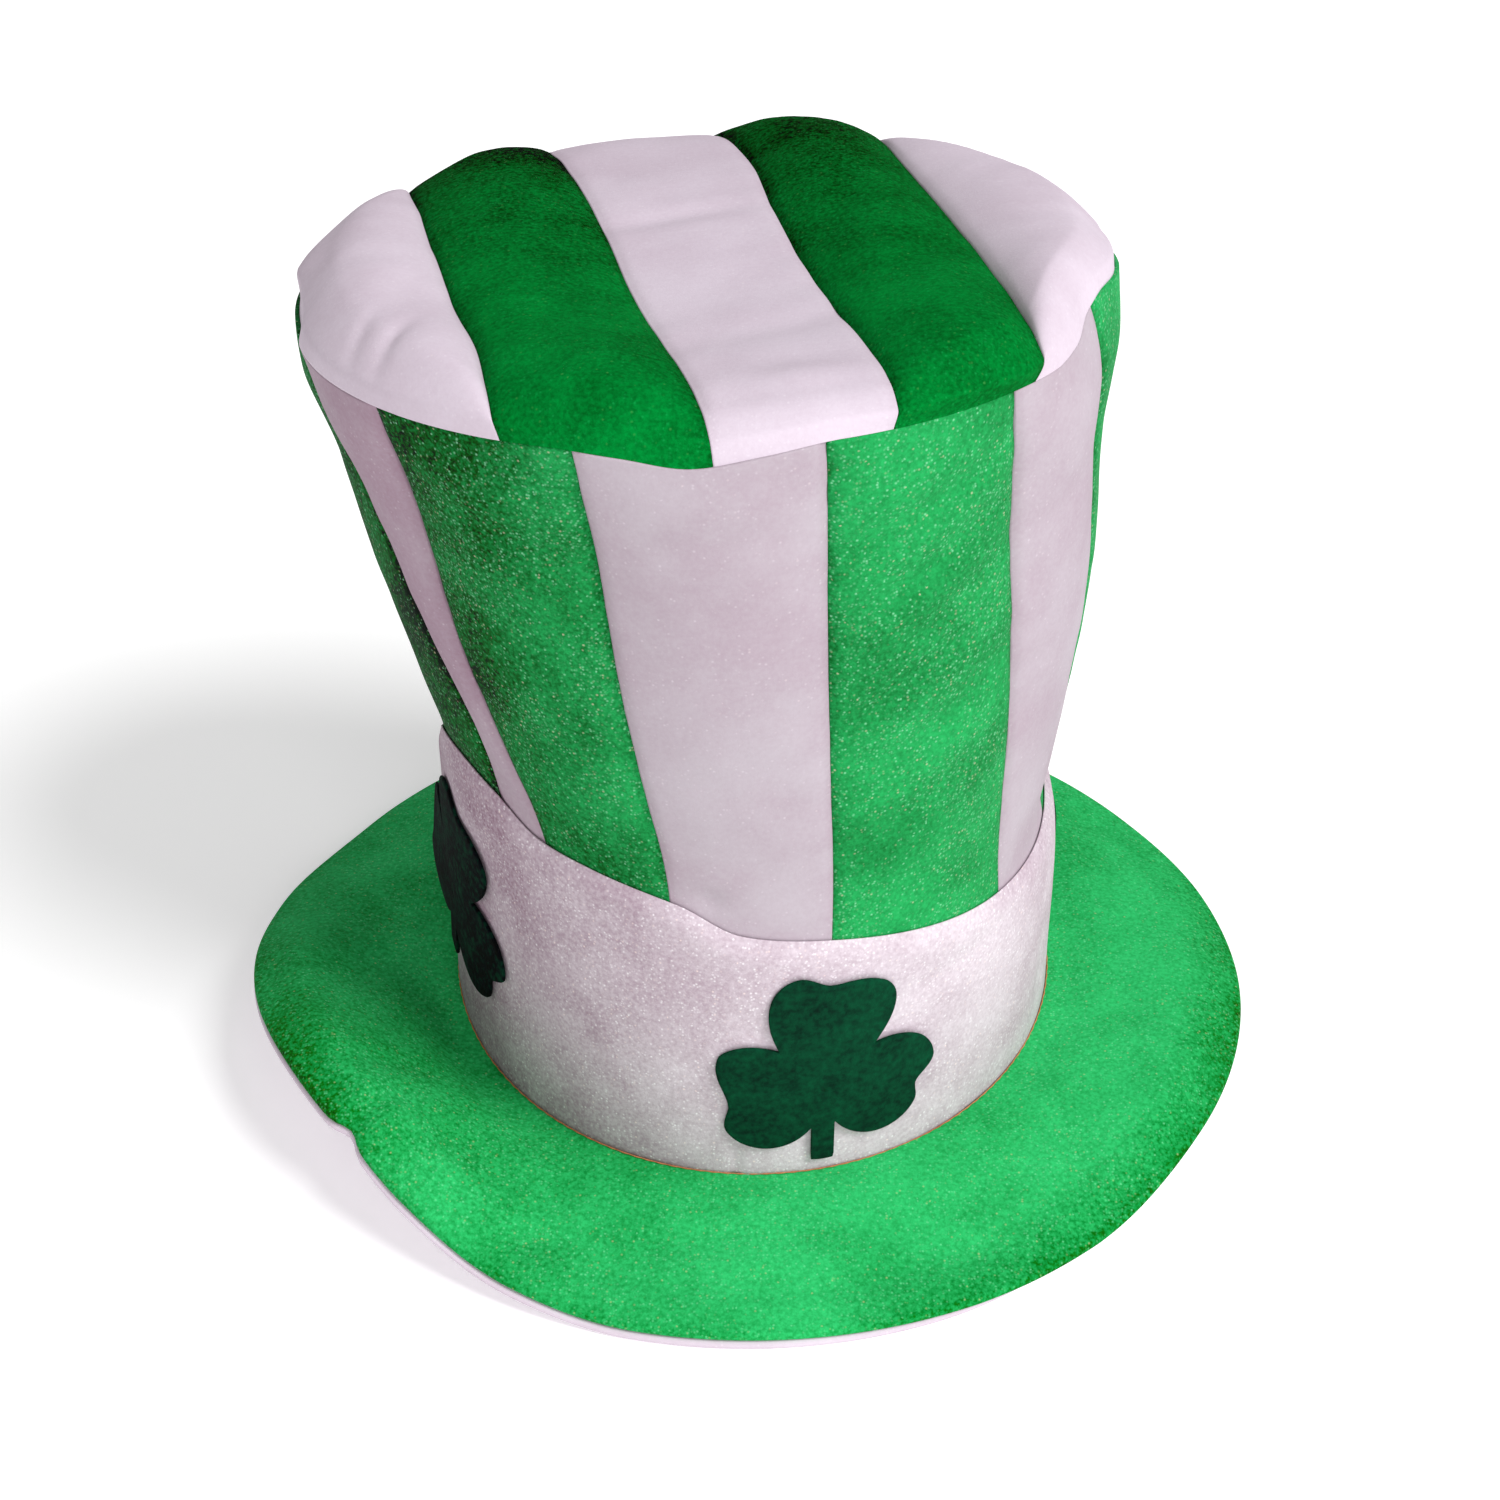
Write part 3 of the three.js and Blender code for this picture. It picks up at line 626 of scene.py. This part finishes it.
# %% Tip form
stripe_width, stripe_turn = 44.5 * mm, 13.5
tip_rise, tip_overhang, stripe_puff = 14.8 * mm, 5.2 * mm, 5 * mm
stripe_flat_edge = 13 * mm
stripes = [  # name, its right seam in stripe widths from the middle, share of puff
    ("tip_left", -1.5, 1.0), ("tip_mid_left", -0.5, 1.1), ("tip_middle", 0.5, 0.1),
    ("tip_mid_right", 1.48, 1.25), ("tip_right", None, 1.25)]
tip_form = table("out rise hang",
                 (0, 1, 0), (0.45, 0.96, 0), (0.75, 0.86, 0.3), (0.9, 0.66, 0.9), (0.97, 0.36, 1), (1, 0, 0))
stripe_columns, stripe_rows = 41, 161
seam_bows = table("place first second third fourth",  # how far each seam bends to the right, in mm
                  (-1, -1, 0.5, -1, -4.5), (-0.6, 0, -0.5, 0, -1), (-0.2, -1.5, -1, 0, 0),
                  (0.2, -1, 0, 1.5, 0), (0.6, 1, 0, 4.5, 0), (0.85, 3, 0, 3.5, 0), (1, 4, 1, 0, -1))
tip_sag, sag_middle, sag_reach = 6 * mm, (-12 * mm, -30 * mm), 66 * mm
# Painted shade toward the back of the tip, for each velvet.
tip_back_shade = {"tip_green_velvet": 0.62, "white_velvet": 0.25}
back_puff = {"tip_right": 0.35, "tip_mid_left": 0.9}
stripe_seam_sink, tip_clear = 0.5 * mm, 0.1 * mm
gather_height, gather_reach, gather_start = 0.7 * mm, 15 * mm, 3 * mm
thin_beside_seam = 4 * mm
tip_folds = [  # stripe, place to the side and to the back in mm, heading, reach, width, height
    ("tip_left", -93.5, -36, 60, 9, 2.2, -1.3), ("tip_left", -87.5, -45, 55, 11, 2.4, -1.4),
    ("tip_left", -91, 36, 70, 22, 5, -2.0), ("tip_left", -80, -20, 75, 20, 7, -0.9),
    ("tip_middle", -3, 25, 4, 22, 5, -1.1), ("tip_middle", 6, -55, 12, 24, 7, -0.8),
    ("tip_middle", 4, -88, 0, 20, 6, 0.8), ("tip_mid_left", -44, -30, 80, 30, 8, -0.9),
    ("tip_mid_right", 45, -40, 60, 26, 8, -1.0), ("tip_mid_right", 40, 10, 70, 30, 9, -0.9)]
across_stripes = np.array([math.cos(math.radians(stripe_turn)), math.sin(math.radians(stripe_turn)), 0])
print("Tip stripes to sew:", [name for name, _, _ in stripes])

# %% [markdown]
# ### A place on the tip
# The tip is worked out in shares of its radius, to the side and to the back. That way its round seam
# lands on the top of the crown, which isn't quite round, and the padding hangs over it a little. The
# stripes run a few degrees off the front.


# %% A place on the tip
def tip_point(side, back, puff, inset, beside_seam):
    share = np.clip(np.hypot(side, back), 0, 1)
    turn = np.degrees(np.arctan2(side, -back)) + stripe_turn
    seam = crown_point(turn, 1, 0)
    middle = (crown_point(0, 1, 0) + crown_point(180, 1, 0)) / 2
    hang = tip_overhang * along(tip_form, "out", "hang", share) * around(rim_form, "hang", turn)
    rise = tip_rise * along(tip_form, "out", "rise", share)
    away = np.clip((1 - share) * tip_radius / stripe_flat_edge, 0, 1)
    point = middle + (seam - middle) * (share + hang / tip_radius)[..., None]
    inward = (middle - seam) / tip_radius * (inset * share * share)[..., None]
    sideways = (inward * across_stripes).sum(-1)[..., None] * across_stripes
    point = point + inward - sideways * beside_seam[..., None]
    point[..., 2] += tip_clear + rise + puff * away - inset * (1 - share ** 4)
    return rim_moved(point, turn, share ** 8)


# %% [markdown]
# ### Cutting the stripes
# A middle stripe lies between two seams and ends at the round seam. The first and the last stripe have
# one seam, and the round seam is their other side.


# %% Cutting the stripes
def stripe_places(index):
    across = crowd(stripe_columns, seam_crowd)[:, None]
    place = np.sin(np.linspace(-0.5, 0.5, stripe_rows) * np.pi)[None, :]
    clear = seam_clear / tip_radius
    seams = [(right * stripe_width + along(seam_bows, "place", bow, place) * mm) / tip_radius
             for bow, (_, right, _) in zip(("first", "second", "third", "fourth"), stripes)]
    last = len(stripes) - 1
    if 0 < index < last:
        side = mix(seams[index - 1] + clear, seams[index] - clear, across)
        return across, side, place * np.sqrt(1 - side * side)
    cut = seams[0] - clear if index == 0 else seams[-1] + clear
    back = place * np.sqrt(1 - cut * cut) + 0 * across
    rim = np.sign(cut) * np.sqrt(1 - back * back)
    side = mix(rim, cut, across) if index == 0 else mix(cut, rim, across)
    return across, side, back


# %% [markdown]
# ### Padding the stripes
# Like a gore, a stripe has a puff between its seams and a groove at each. Near the round seam the
# stitches gather it, and in the middle of the tip the cloth sags where nothing holds it up. Toward the
# back it is painted darker, as painted shade.


# %% Padding the stripes
def tip_stripe(index):
    name, _, puff = stripes[index]
    across, side, back = stripe_places(index)
    height = stripe_puff * puff * np.sin(np.pi * across) ** puff_roundness
    height = height * mix(1, back_puff.get(name, 1), np.clip(back, 0, 1))
    left = np.inf if index == 0 else across * stripe_width
    right = np.inf if index == len(stripes) - 1 else (1 - across) * stripe_width
    from_seam = np.minimum(left, right) + 0 * side
    seam = np.exp(-(from_seam / seam_round) ** 2)
    from_rim = (1 - np.hypot(side, back)) * tip_radius
    flat = np.stack([side, back, 0 * side], -1) * tip_radius
    heading = np.arctan2(side, -back)
    ring = np.stack([np.sin(heading), np.cos(heading), 0 * heading], -1) * tip_radius
    near_rim = np.exp(-from_rim / gather_reach) * np.clip(from_rim / gather_start, 0, 1)
    detail = gather_height * lumps(ring, 11 * mm, 8) * near_rim - stripe_seam_sink * seam
    detail = detail + (0.7 * lumps(flat, 38 * mm, 5) + 0.2 * lumps(flat, 10 * mm, 6)) * mm
    from_sag = np.hypot(flat[..., 0] - sag_middle[0], flat[..., 1] - sag_middle[1])
    detail = detail - tip_sag * np.exp(-(from_sag / sag_reach) ** 2) * (1 - np.hypot(side, back) ** 6)
    for piece, x, y, turn, reach, wide, fold_height in tip_folds:
        if piece == name:
            detail = detail + fold(flat[..., 0], flat[..., 1], (x * mm, y * mm), turn, reach * mm, wide * mm,
                                   fold_height * mm)
    material, slot_name = ((white_pile, "white_velvet"), (tip_green_shaded_pile, "tip_green_velvet"))[index % 2]
    beside_seam = np.exp(-(from_seam / thin_beside_seam) ** 2)
    wall = panel_wall * (1 - 0.5 * beside_seam)
    outer = tip_point(side, back, height + detail, 0 * wall, beside_seam)
    inner = tip_point(side, back, height + detail, wall, beside_seam)
    # Painted shade, darker toward the back of the tip.
    back_painted_shade = tip_back_shade[slot_name] * np.clip((back + 0.3) / 1.1, 0, 1)
    piece = shell_mesh(f"{name}_cloth", outer, inner, [material, foam_backing], seam * seam_shade + back_painted_shade)
    return finish_piece(piece, name)


tip_pieces = [tip_stripe(index) for index in range(len(stripes))]
print("Tip stripes:", len(tip_pieces), "with", len(tip_pieces[0].data.polygons), "faces each")

# %% [markdown]
# ## The band
# A cuff of glitter velvet lies over the foot of the crown, higher at its left than at its right. Its
# top edge is folded over, so the section is a thin wall with a round top that stands a little proud.

# %% Band
band_wall, band_top_wall = 2.2 * mm, 0.5 * mm
band_turns, band_rows, band_nose = 400, 50, 5
band_top_reach, foot_shade_reach = 7 * mm, 3 * mm
felt_gap = 0.5 * mm
band_folds = [  # place as a turn and a height, heading, reach, width, height
    (-3, 10, 88, 16, 1.6, -0.9), (-28, 84, 40, 14, 3, -0.6), (-52, 96, 12, 16, 4, 0.7),
    (-66, 108, 20, 14, 3.5, -0.8), (38, 60, 8, 20, 4, -0.5), (70, 20, 80, 14, 4, -0.6)]
print("Band height:", band_height, "with", len(band_folds), "folds")

# %% [markdown]
# ### Turning a cuff
# One closed section runs round the hat. Its height follows the uneven top edge of the band, so one grid
# makes the whole cuff, and no end has to be hidden.


# %% Turning a cuff
def band_section(rows, nose):
    """Shares up and out for one loop around a thin wall: up its outside, over its top, down its inside."""
    up = np.linspace(0, 1, rows)
    bend = np.linspace(0, np.pi, nose + 2)[1:-1]
    ups = np.concatenate([up, 1 + 0 * bend, up[::-1]])
    outs = np.concatenate([1 + 0 * up, 0.5 + 0.5 * np.cos(bend), 0 * up])
    over = np.concatenate([0 * up, np.sin(bend), 0 * up])
    return ups, outs, over


def band_out(turn, up, edge):
    """How far the outside of the band stands proud of the crown."""
    place = crown_point(turn, up, 0)
    uneven = (0.3 * lumps(place, 30 * mm, 11) + 0.12 * lumps(place, 8 * mm, 12)) * mm
    high = up * crown_height
    for at, height, heading, reach, width, depth in band_folds:
        aside = np.radians(turn - at) * head_radius
        aside = np.where(turn - at > 180, aside - 2 * np.pi * head_radius, aside)
        uneven = uneven + fold(aside, high, (0, height * mm), heading, reach * mm, width * mm, depth * mm)
    near_top = np.clip(1 - (edge - up) * crown_height / band_top_reach, 0, 1) ** 2
    return seam_gap + mix(band_wall + uneven, band_top_wall, near_top)


def band_cloth():
    ups, outs, over = band_section(band_rows, band_nose)
    foot_turn = np.linspace(0, 360, band_turns, endpoint=False)[:, None]
    edge = band_edge_up(foot_turn)
    up = edge * ups[None, :] + over[None, :] * band_top_wall / 2 / crown_height
    out = seam_gap + (band_out(foot_turn, up, edge) - seam_gap) * outs[None, :]
    grid = crown_point(foot_turn, up, out)
    # Painted shade at the foot of the band, where it meets the brim, and on its left side.
    at_foot = np.exp(-(up * crown_height / foot_shade_reach) ** 2)
    shaded = seam_shade * at_foot + band_left_share * around(left_painted_shade, "amount", foot_turn)
    piece = ring_mesh("band_cloth", grid, [band_pile], shaded)
    return finish_piece(piece, "band")


band_piece = band_cloth()
print("Band:", len(band_piece.data.polygons), "faces")

# %% [markdown]
# ## The brim
# Two padded layers, green above and white below, are sewn together at the rim and to the crown. The
# brim slopes down from the crown and lies on the floor at the front and the back, while its left
# front is pushed up. Each layer is one ring with a section that goes out below and comes back above.

# %% Brim form
brim_width, brim_length = 309 * mm, 304 * mm
brim_layer, brim_wave = 3.4 * mm, 32 * mm
brim_form = table("out drop thick",
                  (0, 0, 1), (0.14, 0, 1), (0.38, 0.3, 1.08), (0.6, 0.68, 1.08), (0.82, 1, 1), (1, 1, 0.7))
rim_rise = table("turn rise",
                 (-180, 0), (-150, 0), (-122, 0), (-100, 0.3), (-80, 0.73), (-60, 1), (-50, 0.92),
                 (-40, 0.56), (-26, 0.14), (-12, 0), (6, 0), (24, 0), (42, 0.14), (60, 0.35), (80, 0.32),
                 (100, 0.15), (124, 0), (150, 0))
brim_turns, brim_rows, brim_nose = 400, 60, 7
brim_puff = 1.6 * mm
# `dark` is painted shade along the rim, where it rolls down and folds.
rim_shape = table("turn show roll dark",
                  (-150, 0.2, 0, 0), (-110, 0.2, 0, 0), (-80, 0.3, 0, 0.2), (-62, 0.5, 0, 0.35),
                  (-51, 0.5, 0, 0.42), (-45, 1, 0, 0.1), (-38, 1.3, 0, 0), (-20, 1, 0, 0.03),
                  (0, 0.8, 0, 0.03), (20, 0.6, 0.25, 0.15), (35, 0.3, 0.8, 0.42), (60, 0, 1, 0.5),
                  (85, 0, 0.8, 0.4), (110, 0, 0.2, 0.1), (135, 0.1, 0, 0))
# Painted shadow of the crown on the left and front left of the brim.
brim_left_shade = table("turn amount", (-180, 0), (-130, 0.05), (-105, 0.15), (-80, 0.22), (-60, 0.22),
                        (-40, 0.2), (-20, 0.1), (0, 0), (150, 0))
rim_show, rim_roll, rim_tuck, rim_dark_reach = 0.6 * mm, 3.2 * mm, 3.3 * mm, 13 * mm
rim_round, roll_reach, free_height, rim_seam_reach = 0.35, 9 * mm, 4 * mm, 2 * mm
kink_turn, kink_spread, kink_depth = -48.5, 1.7, 2.4 * mm
brim_folds = [  # turn, share out, heading, reach, width, height
    (-49, 0.86, 50, 14, 3.5, -1.8), (-57, 0.62, 20, 16, 5, -1.0), (-38, 0.55, -30, 18, 5, -0.9),
    (-27, 0.78, 12, 20, 5, -0.9), (-5, 0.5, 8, 24, 6, -0.8), (22, 0.62, -16, 26, 6, -0.8),
    (46, 0.5, -44, 22, 6, -0.9), (-80, 0.5, 70, 20, 6, -1.1), (78, 0.45, -78, 20, 6, -0.8)]
print("Brim:", brim_width, "by", brim_length, "with", len(brim_folds), "folds")

# %% [markdown]
# ### Brim rings
# Both layers use one function, so they follow each other at any turn. The upper one also has the puff,
# the folds and the soft roll at its rim, and it lies still where the floor carries it. A lathe could
# make a flat brim, but not one whose rim rises and rolls by the turn.


# %% Brim rings
def brim_point(turn, out, layers, gaps):
    opening = crown_point(turn, 0, -panel_wall)
    side, front = np.sin(np.radians(turn)), np.cos(np.radians(turn))
    seat_under = brim_seat - 2 * brim_layer - seam_gap
    under = mix(seat_under, brim_wave * around(rim_rise, "rise", turn), along(brim_form, "out", "drop", out))
    layer = brim_layer * along(brim_form, "out", "thick", out)
    x = mix(opening[..., 0], side * brim_width / 2, out)
    y = mix(opening[..., 1], -front * brim_length / 2, out)
    z = under + layer * layers + seam_gap * gaps
    return np.stack(np.broadcast_arrays(x, y, z), -1)


def brim_ring(level, name, material):
    turn = np.linspace(0, 360, brim_turns, endpoint=False)[:, None]
    out = np.linspace(0, 1, brim_rows) ** 0.8
    bend = np.linspace(-np.pi / 2, np.pi / 2, brim_nose + 2)[1:-1]
    outs = np.concatenate([out, 1 + 0 * bend, out[::-1]])[None, :]
    layers = np.concatenate([0 * out, 0.5 + 0.5 * np.sin(bend), 1 + 0 * out])[None, :]
    nose = np.concatenate([0 * out, np.cos(bend), 0 * out])[None, :]
    ring_width = brim_width / 2 - head_radius
    half_rim = brim_layer * rim_round
    kink = kink_depth * np.exp(-(((turn + 180) % 360 - 180 - kink_turn) / kink_spread) ** 2)
    tuck = rim_tuck * around(rim_shape, "roll", turn)
    inset = half_rim + kink + (rim_show * around(rim_shape, "show", turn) if level else tuck)
    outs = outs * (1 - inset / ring_width) + nose * half_rim / ring_width
    grid = brim_point(turn, outs, level + layers, level)
    flat = grid * (1, 1, 0)
    puffed = np.sin(np.pi * np.clip(outs, 0, 1)) ** 0.6
    uneven = 0.7 * lumps(flat, 42 * mm, 21) + 0.25 * lumps(flat, 11 * mm, 22)
    relief = brim_puff * puffed + puffed * uneven * mm
    for at, share, heading, reach, width, height in brim_folds:
        middle = brim_point(at, share, 0, 0)
        relief = relief + fold(flat[..., 0], flat[..., 1], middle, heading, reach * mm, width * mm,
                               height * mm)
    from_rim = (1 - outs) * ring_width
    roll = rim_roll * around(rim_shape, "roll", turn) * np.exp(-(from_rim / roll_reach) ** 2)
    over_floor = np.clip(brim_point(turn, outs, 0, 0)[..., 2] / free_height, 0, 1)
    grid[..., 2] += level * layers * relief - roll * over_floor
    # Painted shade along the rim and at the rim seam, and the crown's painted shadow on the left.
    dark = around(rim_shape, "dark", turn) * np.clip(1.25 - from_rim / rim_dark_reach, 0, 1)
    at_rim = np.exp(-(from_rim / rim_seam_reach) ** 2)
    shaded = dark + seam_shade * at_rim + around(brim_left_shade, "amount", turn)
    piece = ring_mesh(name + "_cloth", grid, [material], shaded * level + 0 * turn)
    return finish_piece(piece, name)


brim_pieces = [brim_ring(1, "brim_top", green_pile),
               brim_ring(0, "brim_underside", white_pile)]
print("Brim layers:", [len(piece.data.polygons) for piece in brim_pieces], "faces")

# %% [markdown]
# ## The seam at the foot
# Brim and band meet in one line of orange-brown thread. It is a thin round cord that follows the foot
# of the band and rises and falls a little with each stitch.

# %% Seam thread
thread_turns, thread_sides, thread_thick, stitch_length = 900, 8, 0.38 * mm, 4 * mm


def foot_thread():
    turn = np.linspace(0, 360, thread_turns, endpoint=False)[:, None]
    around_thread = np.linspace(0, 2 * np.pi, thread_sides, endpoint=False)[None, :]
    stitch = np.cos(np.radians(turn) * round(2 * np.pi * head_radius / stitch_length))
    out = seam_gap + band_wall + thread_thick * (0.6 + 0.15 * stitch)
    middle = crown_point(turn, 0, out)
    outward = crown_point(turn, 0, out + 1 * mm) - middle
    outward = outward / np.linalg.norm(outward, axis=-1)[..., None]
    half = thread_thick / 2 * (1 + 0.2 * stitch)
    grid = middle + outward * (half * np.cos(around_thread))[..., None]
    grid[..., 2] += half * np.sin(around_thread) + 0.7 * mm
    piece = ring_mesh("foot_seam_thread", grid, [seam_thread], 0 * grid[..., 0])
    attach(piece, "root")
    return piece


foot_seam = foot_thread()
print("Seam thread:", len(foot_seam.data.polygons), "faces")

# %% [markdown]
# ## Shamrocks
# Each shamrock is cut from one layer of craft felt and laid on the band: three heart-shaped leaves of
# two lobes each, and a stem. The outline is a reach for each heading from the point where the leaves
# meet, and rings of points fill it in. One leaf of the shamrock at the left stands off the band.

# %% Shamrocks
shamrock_size, shamrock_wall = 68.5 * mm, 1.2 * mm
stem_width, stem_turn, stem_spread, stem_reach = 7 * mm, 181, 40, 0.38
lobes = [  # notch, peak, root as headings, their reaches as shares of the size, how full the lobe is
    (3, 22, 48, 0.55, 0.58, 0.29, 3.2), (102, 87, 48, 0.44, 0.52, 0.29, 1.9),
    (102, 114, 165, 0.44, 0.47, 0.18, 1.7), (263, 246, 196, 0.42, 0.47, 0.2, 1.7),
    (263, 294, 320, 0.42, 0.5, 0.3, 1.5), (363, 348, 320, 0.55, 0.61, 0.3, 2.1)]
shamrock_places = [  # name, turn, height as a share of the band, tilt, heading and lift of a raised leaf
    ("shamrock_front", 12.4, 0.36, 0, 90, 0.5), ("shamrock_right", 112, 0.37, 0, 280, 0.3),
    ("shamrock_back", 193, 0.45, 0, 85, 0.6), ("shamrock_left", -70, 0.565, 13, 250, 4.5)]
# Painted shade: the shamrock at the left is painted darker.
felt_shade = {"shamrock_left": 0.7}
spokes, leaf_spread = 300, 38
print("Shamrocks:", [place[0] for place in shamrock_places])

# %% [markdown]
# ### Outline of the leaves
# A lobe rises from the root between two leaves to its peak, and falls to the notch in its own leaf. The
# stem is a straight bar, so its reach is half its width over the sine of the heading.


# %% Outline of the leaves
def turn_between(first, second):
    return np.abs((first - second + 180) % 360 - 180)


def lobe_reach(heading, notch, peak, root, notch_reach, peak_reach, root_reach, full):
    past = np.clip((heading - peak) / (root - peak), 0, 1)
    before = np.clip((heading - peak) / (notch - peak), 0, 1)
    outer = mix(peak_reach, root_reach, past ** full)
    inner = mix(peak_reach, notch_reach, (1 - np.cos(np.pi * before)) / 2)
    return np.where((heading - peak) * (root - peak) >= 0, outer, inner)


def shamrock_reach(heading):
    half = stem_width / 2
    reach = np.full_like(heading, half)
    for notch, peak, root, *shape in lobes:
        for lap in (heading, heading + 360):
            on_lobe = (lap - notch) * (lap - root) <= 0
            lobe = shamrock_size * lobe_reach(lap, notch, peak, root, *shape)
            reach = np.where(on_lobe, np.maximum(reach, lobe), reach)
    aside = turn_between(heading, stem_turn)
    sine = np.maximum(np.sin(np.radians(aside)), half / (stem_reach * shamrock_size))
    return np.where(aside < stem_spread, np.maximum(reach, half / sine), reach)


# %% [markdown]
# ### Laying the felt
# The flat outline is wrapped around the band: its width becomes a turn and its height a share up the
# crown. Felt keeps its size in this, and only a raised leaf and a slight wave lift it off the band.


# %% Laying the felt
def felt_shamrock(name, middle_turn, height, tilt, raised, lift):
    heading = np.linspace(0, 360, spokes, endpoint=False)[:, None]
    ring = np.concatenate([np.linspace(0.002, 0.97, 18), [0.99, 1, 1, 0.99], np.linspace(0.97, 0.002, 18)])
    level = np.concatenate([np.ones(18), [0.93, 0.7, 0.3, 0.07], np.zeros(18)])[None, :]
    reach = ring[None, :] * shamrock_reach(heading)
    radius = head_radius + seam_gap + band_wall
    side, rise = reach * np.sin(np.radians(heading + tilt)), reach * np.cos(np.radians(heading + tilt))
    turn = middle_turn + np.degrees(side / radius)
    up = (height * band_height + rise) / crown_height
    flat = np.stack([side, rise, 0 * reach], -1)
    beside_leaf = np.exp(-(turn_between(heading, raised) / leaf_spread) ** 2)
    curl = beside_leaf * np.clip(reach / shamrock_size / 0.5, 0, 1.2) ** 1.6
    wavy = 0.35 * lumps(flat, 13 * mm, len(name)) * mm * (reach / shamrock_size)
    out = seam_gap + band_wall + felt_gap + np.abs(wavy) + lift * mm * curl
    grid = crown_point(turn, up, out + shamrock_wall * level)
    piece = ring_mesh(name + "_felt", grid, [green_felt], felt_shade.get(name, 0) + 0 * reach)
    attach(piece, "root")
    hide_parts(name)
    return piece


for place in shamrock_places:
    felt = felt_shamrock(*place)

# %% [markdown]
# ## Light, floor and camera
# The hat stands on a plain pale floor. The strongest light is far away at the right front, high enough
# that the crown shades the left of the brim, and wide enough for a soft shadow. A large weak light from
# the front and an even white sky fill in. Two helpers point a light at the hat.


# %% Light helpers
def aim(place, target):
    """Turns that point a light from its place to its target."""
    direction = np.array(target) - np.array(place)
    heading = math.atan2(direction[1], direction[0])
    tilt = math.atan2(math.hypot(direction[0], direction[1]), -direction[2])
    return tilt, 0, heading - math.pi / 2


def add_light(name, kind, place, target, power, settings):
    light = bpy.data.lights.new(name, kind)
    light.energy = power
    for setting, value in settings.items():
        setattr(light, setting, value)
    lamp = bpy.data.objects.new(name, light)
    lamp.location = place
    lamp.rotation_euler = aim(place, target)
    bpy.context.scene.collection.objects.link(lamp)


# %% [markdown]
# ### Floor and sky
# The floor is one large square of matt paper white. It gives off a little light of its own, as a lit
# studio table does, so that the shadow of the hat stays faint.

# %% Floor and sky
floor_mesh = bpy.data.meshes.new("floor")
half_floor = 4.0
floor_mesh.from_pydata([(-half_floor, -half_floor, 0), (half_floor, -half_floor, 0),
                        (half_floor, half_floor, 0), (-half_floor, half_floor, 0)], [], [(0, 1, 2, 3)])
floor_material, floor_tree, floor_shader, floor_place = new_material("pale_floor")
floor_tone = spread(floor_tree, noise(floor_tree, floor_place, 3.0), 0.2, 0.8)
floor_tree.links.new(add_mix(floor_tree, floor_tone, (0.95, 0.95, 0.95, 1), (0.97, 0.97, 0.97, 1)),
                     floor_shader.inputs["Base Color"])
floor_shader.inputs["Roughness"].default_value = 0.9
floor_shader.inputs["Emission Color"].default_value = (1, 1, 1, 1)
floor_shader.inputs["Emission Strength"].default_value = 0.25
floor_mesh.materials.append(floor_material)
floor = bpy.data.objects.new("floor", floor_mesh)
bpy.context.scene.collection.objects.link(floor)

world = bpy.data.worlds.new("studio")
world.use_nodes = True
world.node_tree.nodes["Background"].inputs["Color"].default_value = (1, 1, 1, 1)
world.node_tree.nodes["Background"].inputs["Strength"].default_value = 0.4
bpy.context.scene.world = world
bpy.context.scene.view_settings.view_transform = "Standard"
print("Floor:", 2 * half_floor, "m wide")

# %% [markdown]
# ### Lights and camera
# A wide angle makes the sun's shadow soft. The camera stands in front of the hat and above it, and looks
# down at about 36 degrees, with a lens a little longer than normal.

# %% Lights and camera
hat_middle = (0, 0, 0.14)
add_light("key", "SUN", (1.7, -1.05, 2.4), hat_middle, 2.5, {"angle": math.radians(24)})
add_light("front", "AREA", (0.3, -1.9, 1.0), hat_middle, 13, {"size": 1.0})

camera_data = bpy.data.cameras.new("camera")
camera_data.sensor_fit = "HORIZONTAL"
camera_data.lens = 67.2
camera = bpy.data.objects.new("camera", camera_data)
camera.location = (0.0001, -0.6832, 0.5844)
camera.rotation_euler = (math.radians(54.38), 0, 0)
bpy.context.scene.collection.objects.link(camera)
bpy.context.scene.camera = camera
print("Camera at", tuple(camera.location), "with a lens of", round(camera_data.lens, 1), "mm")
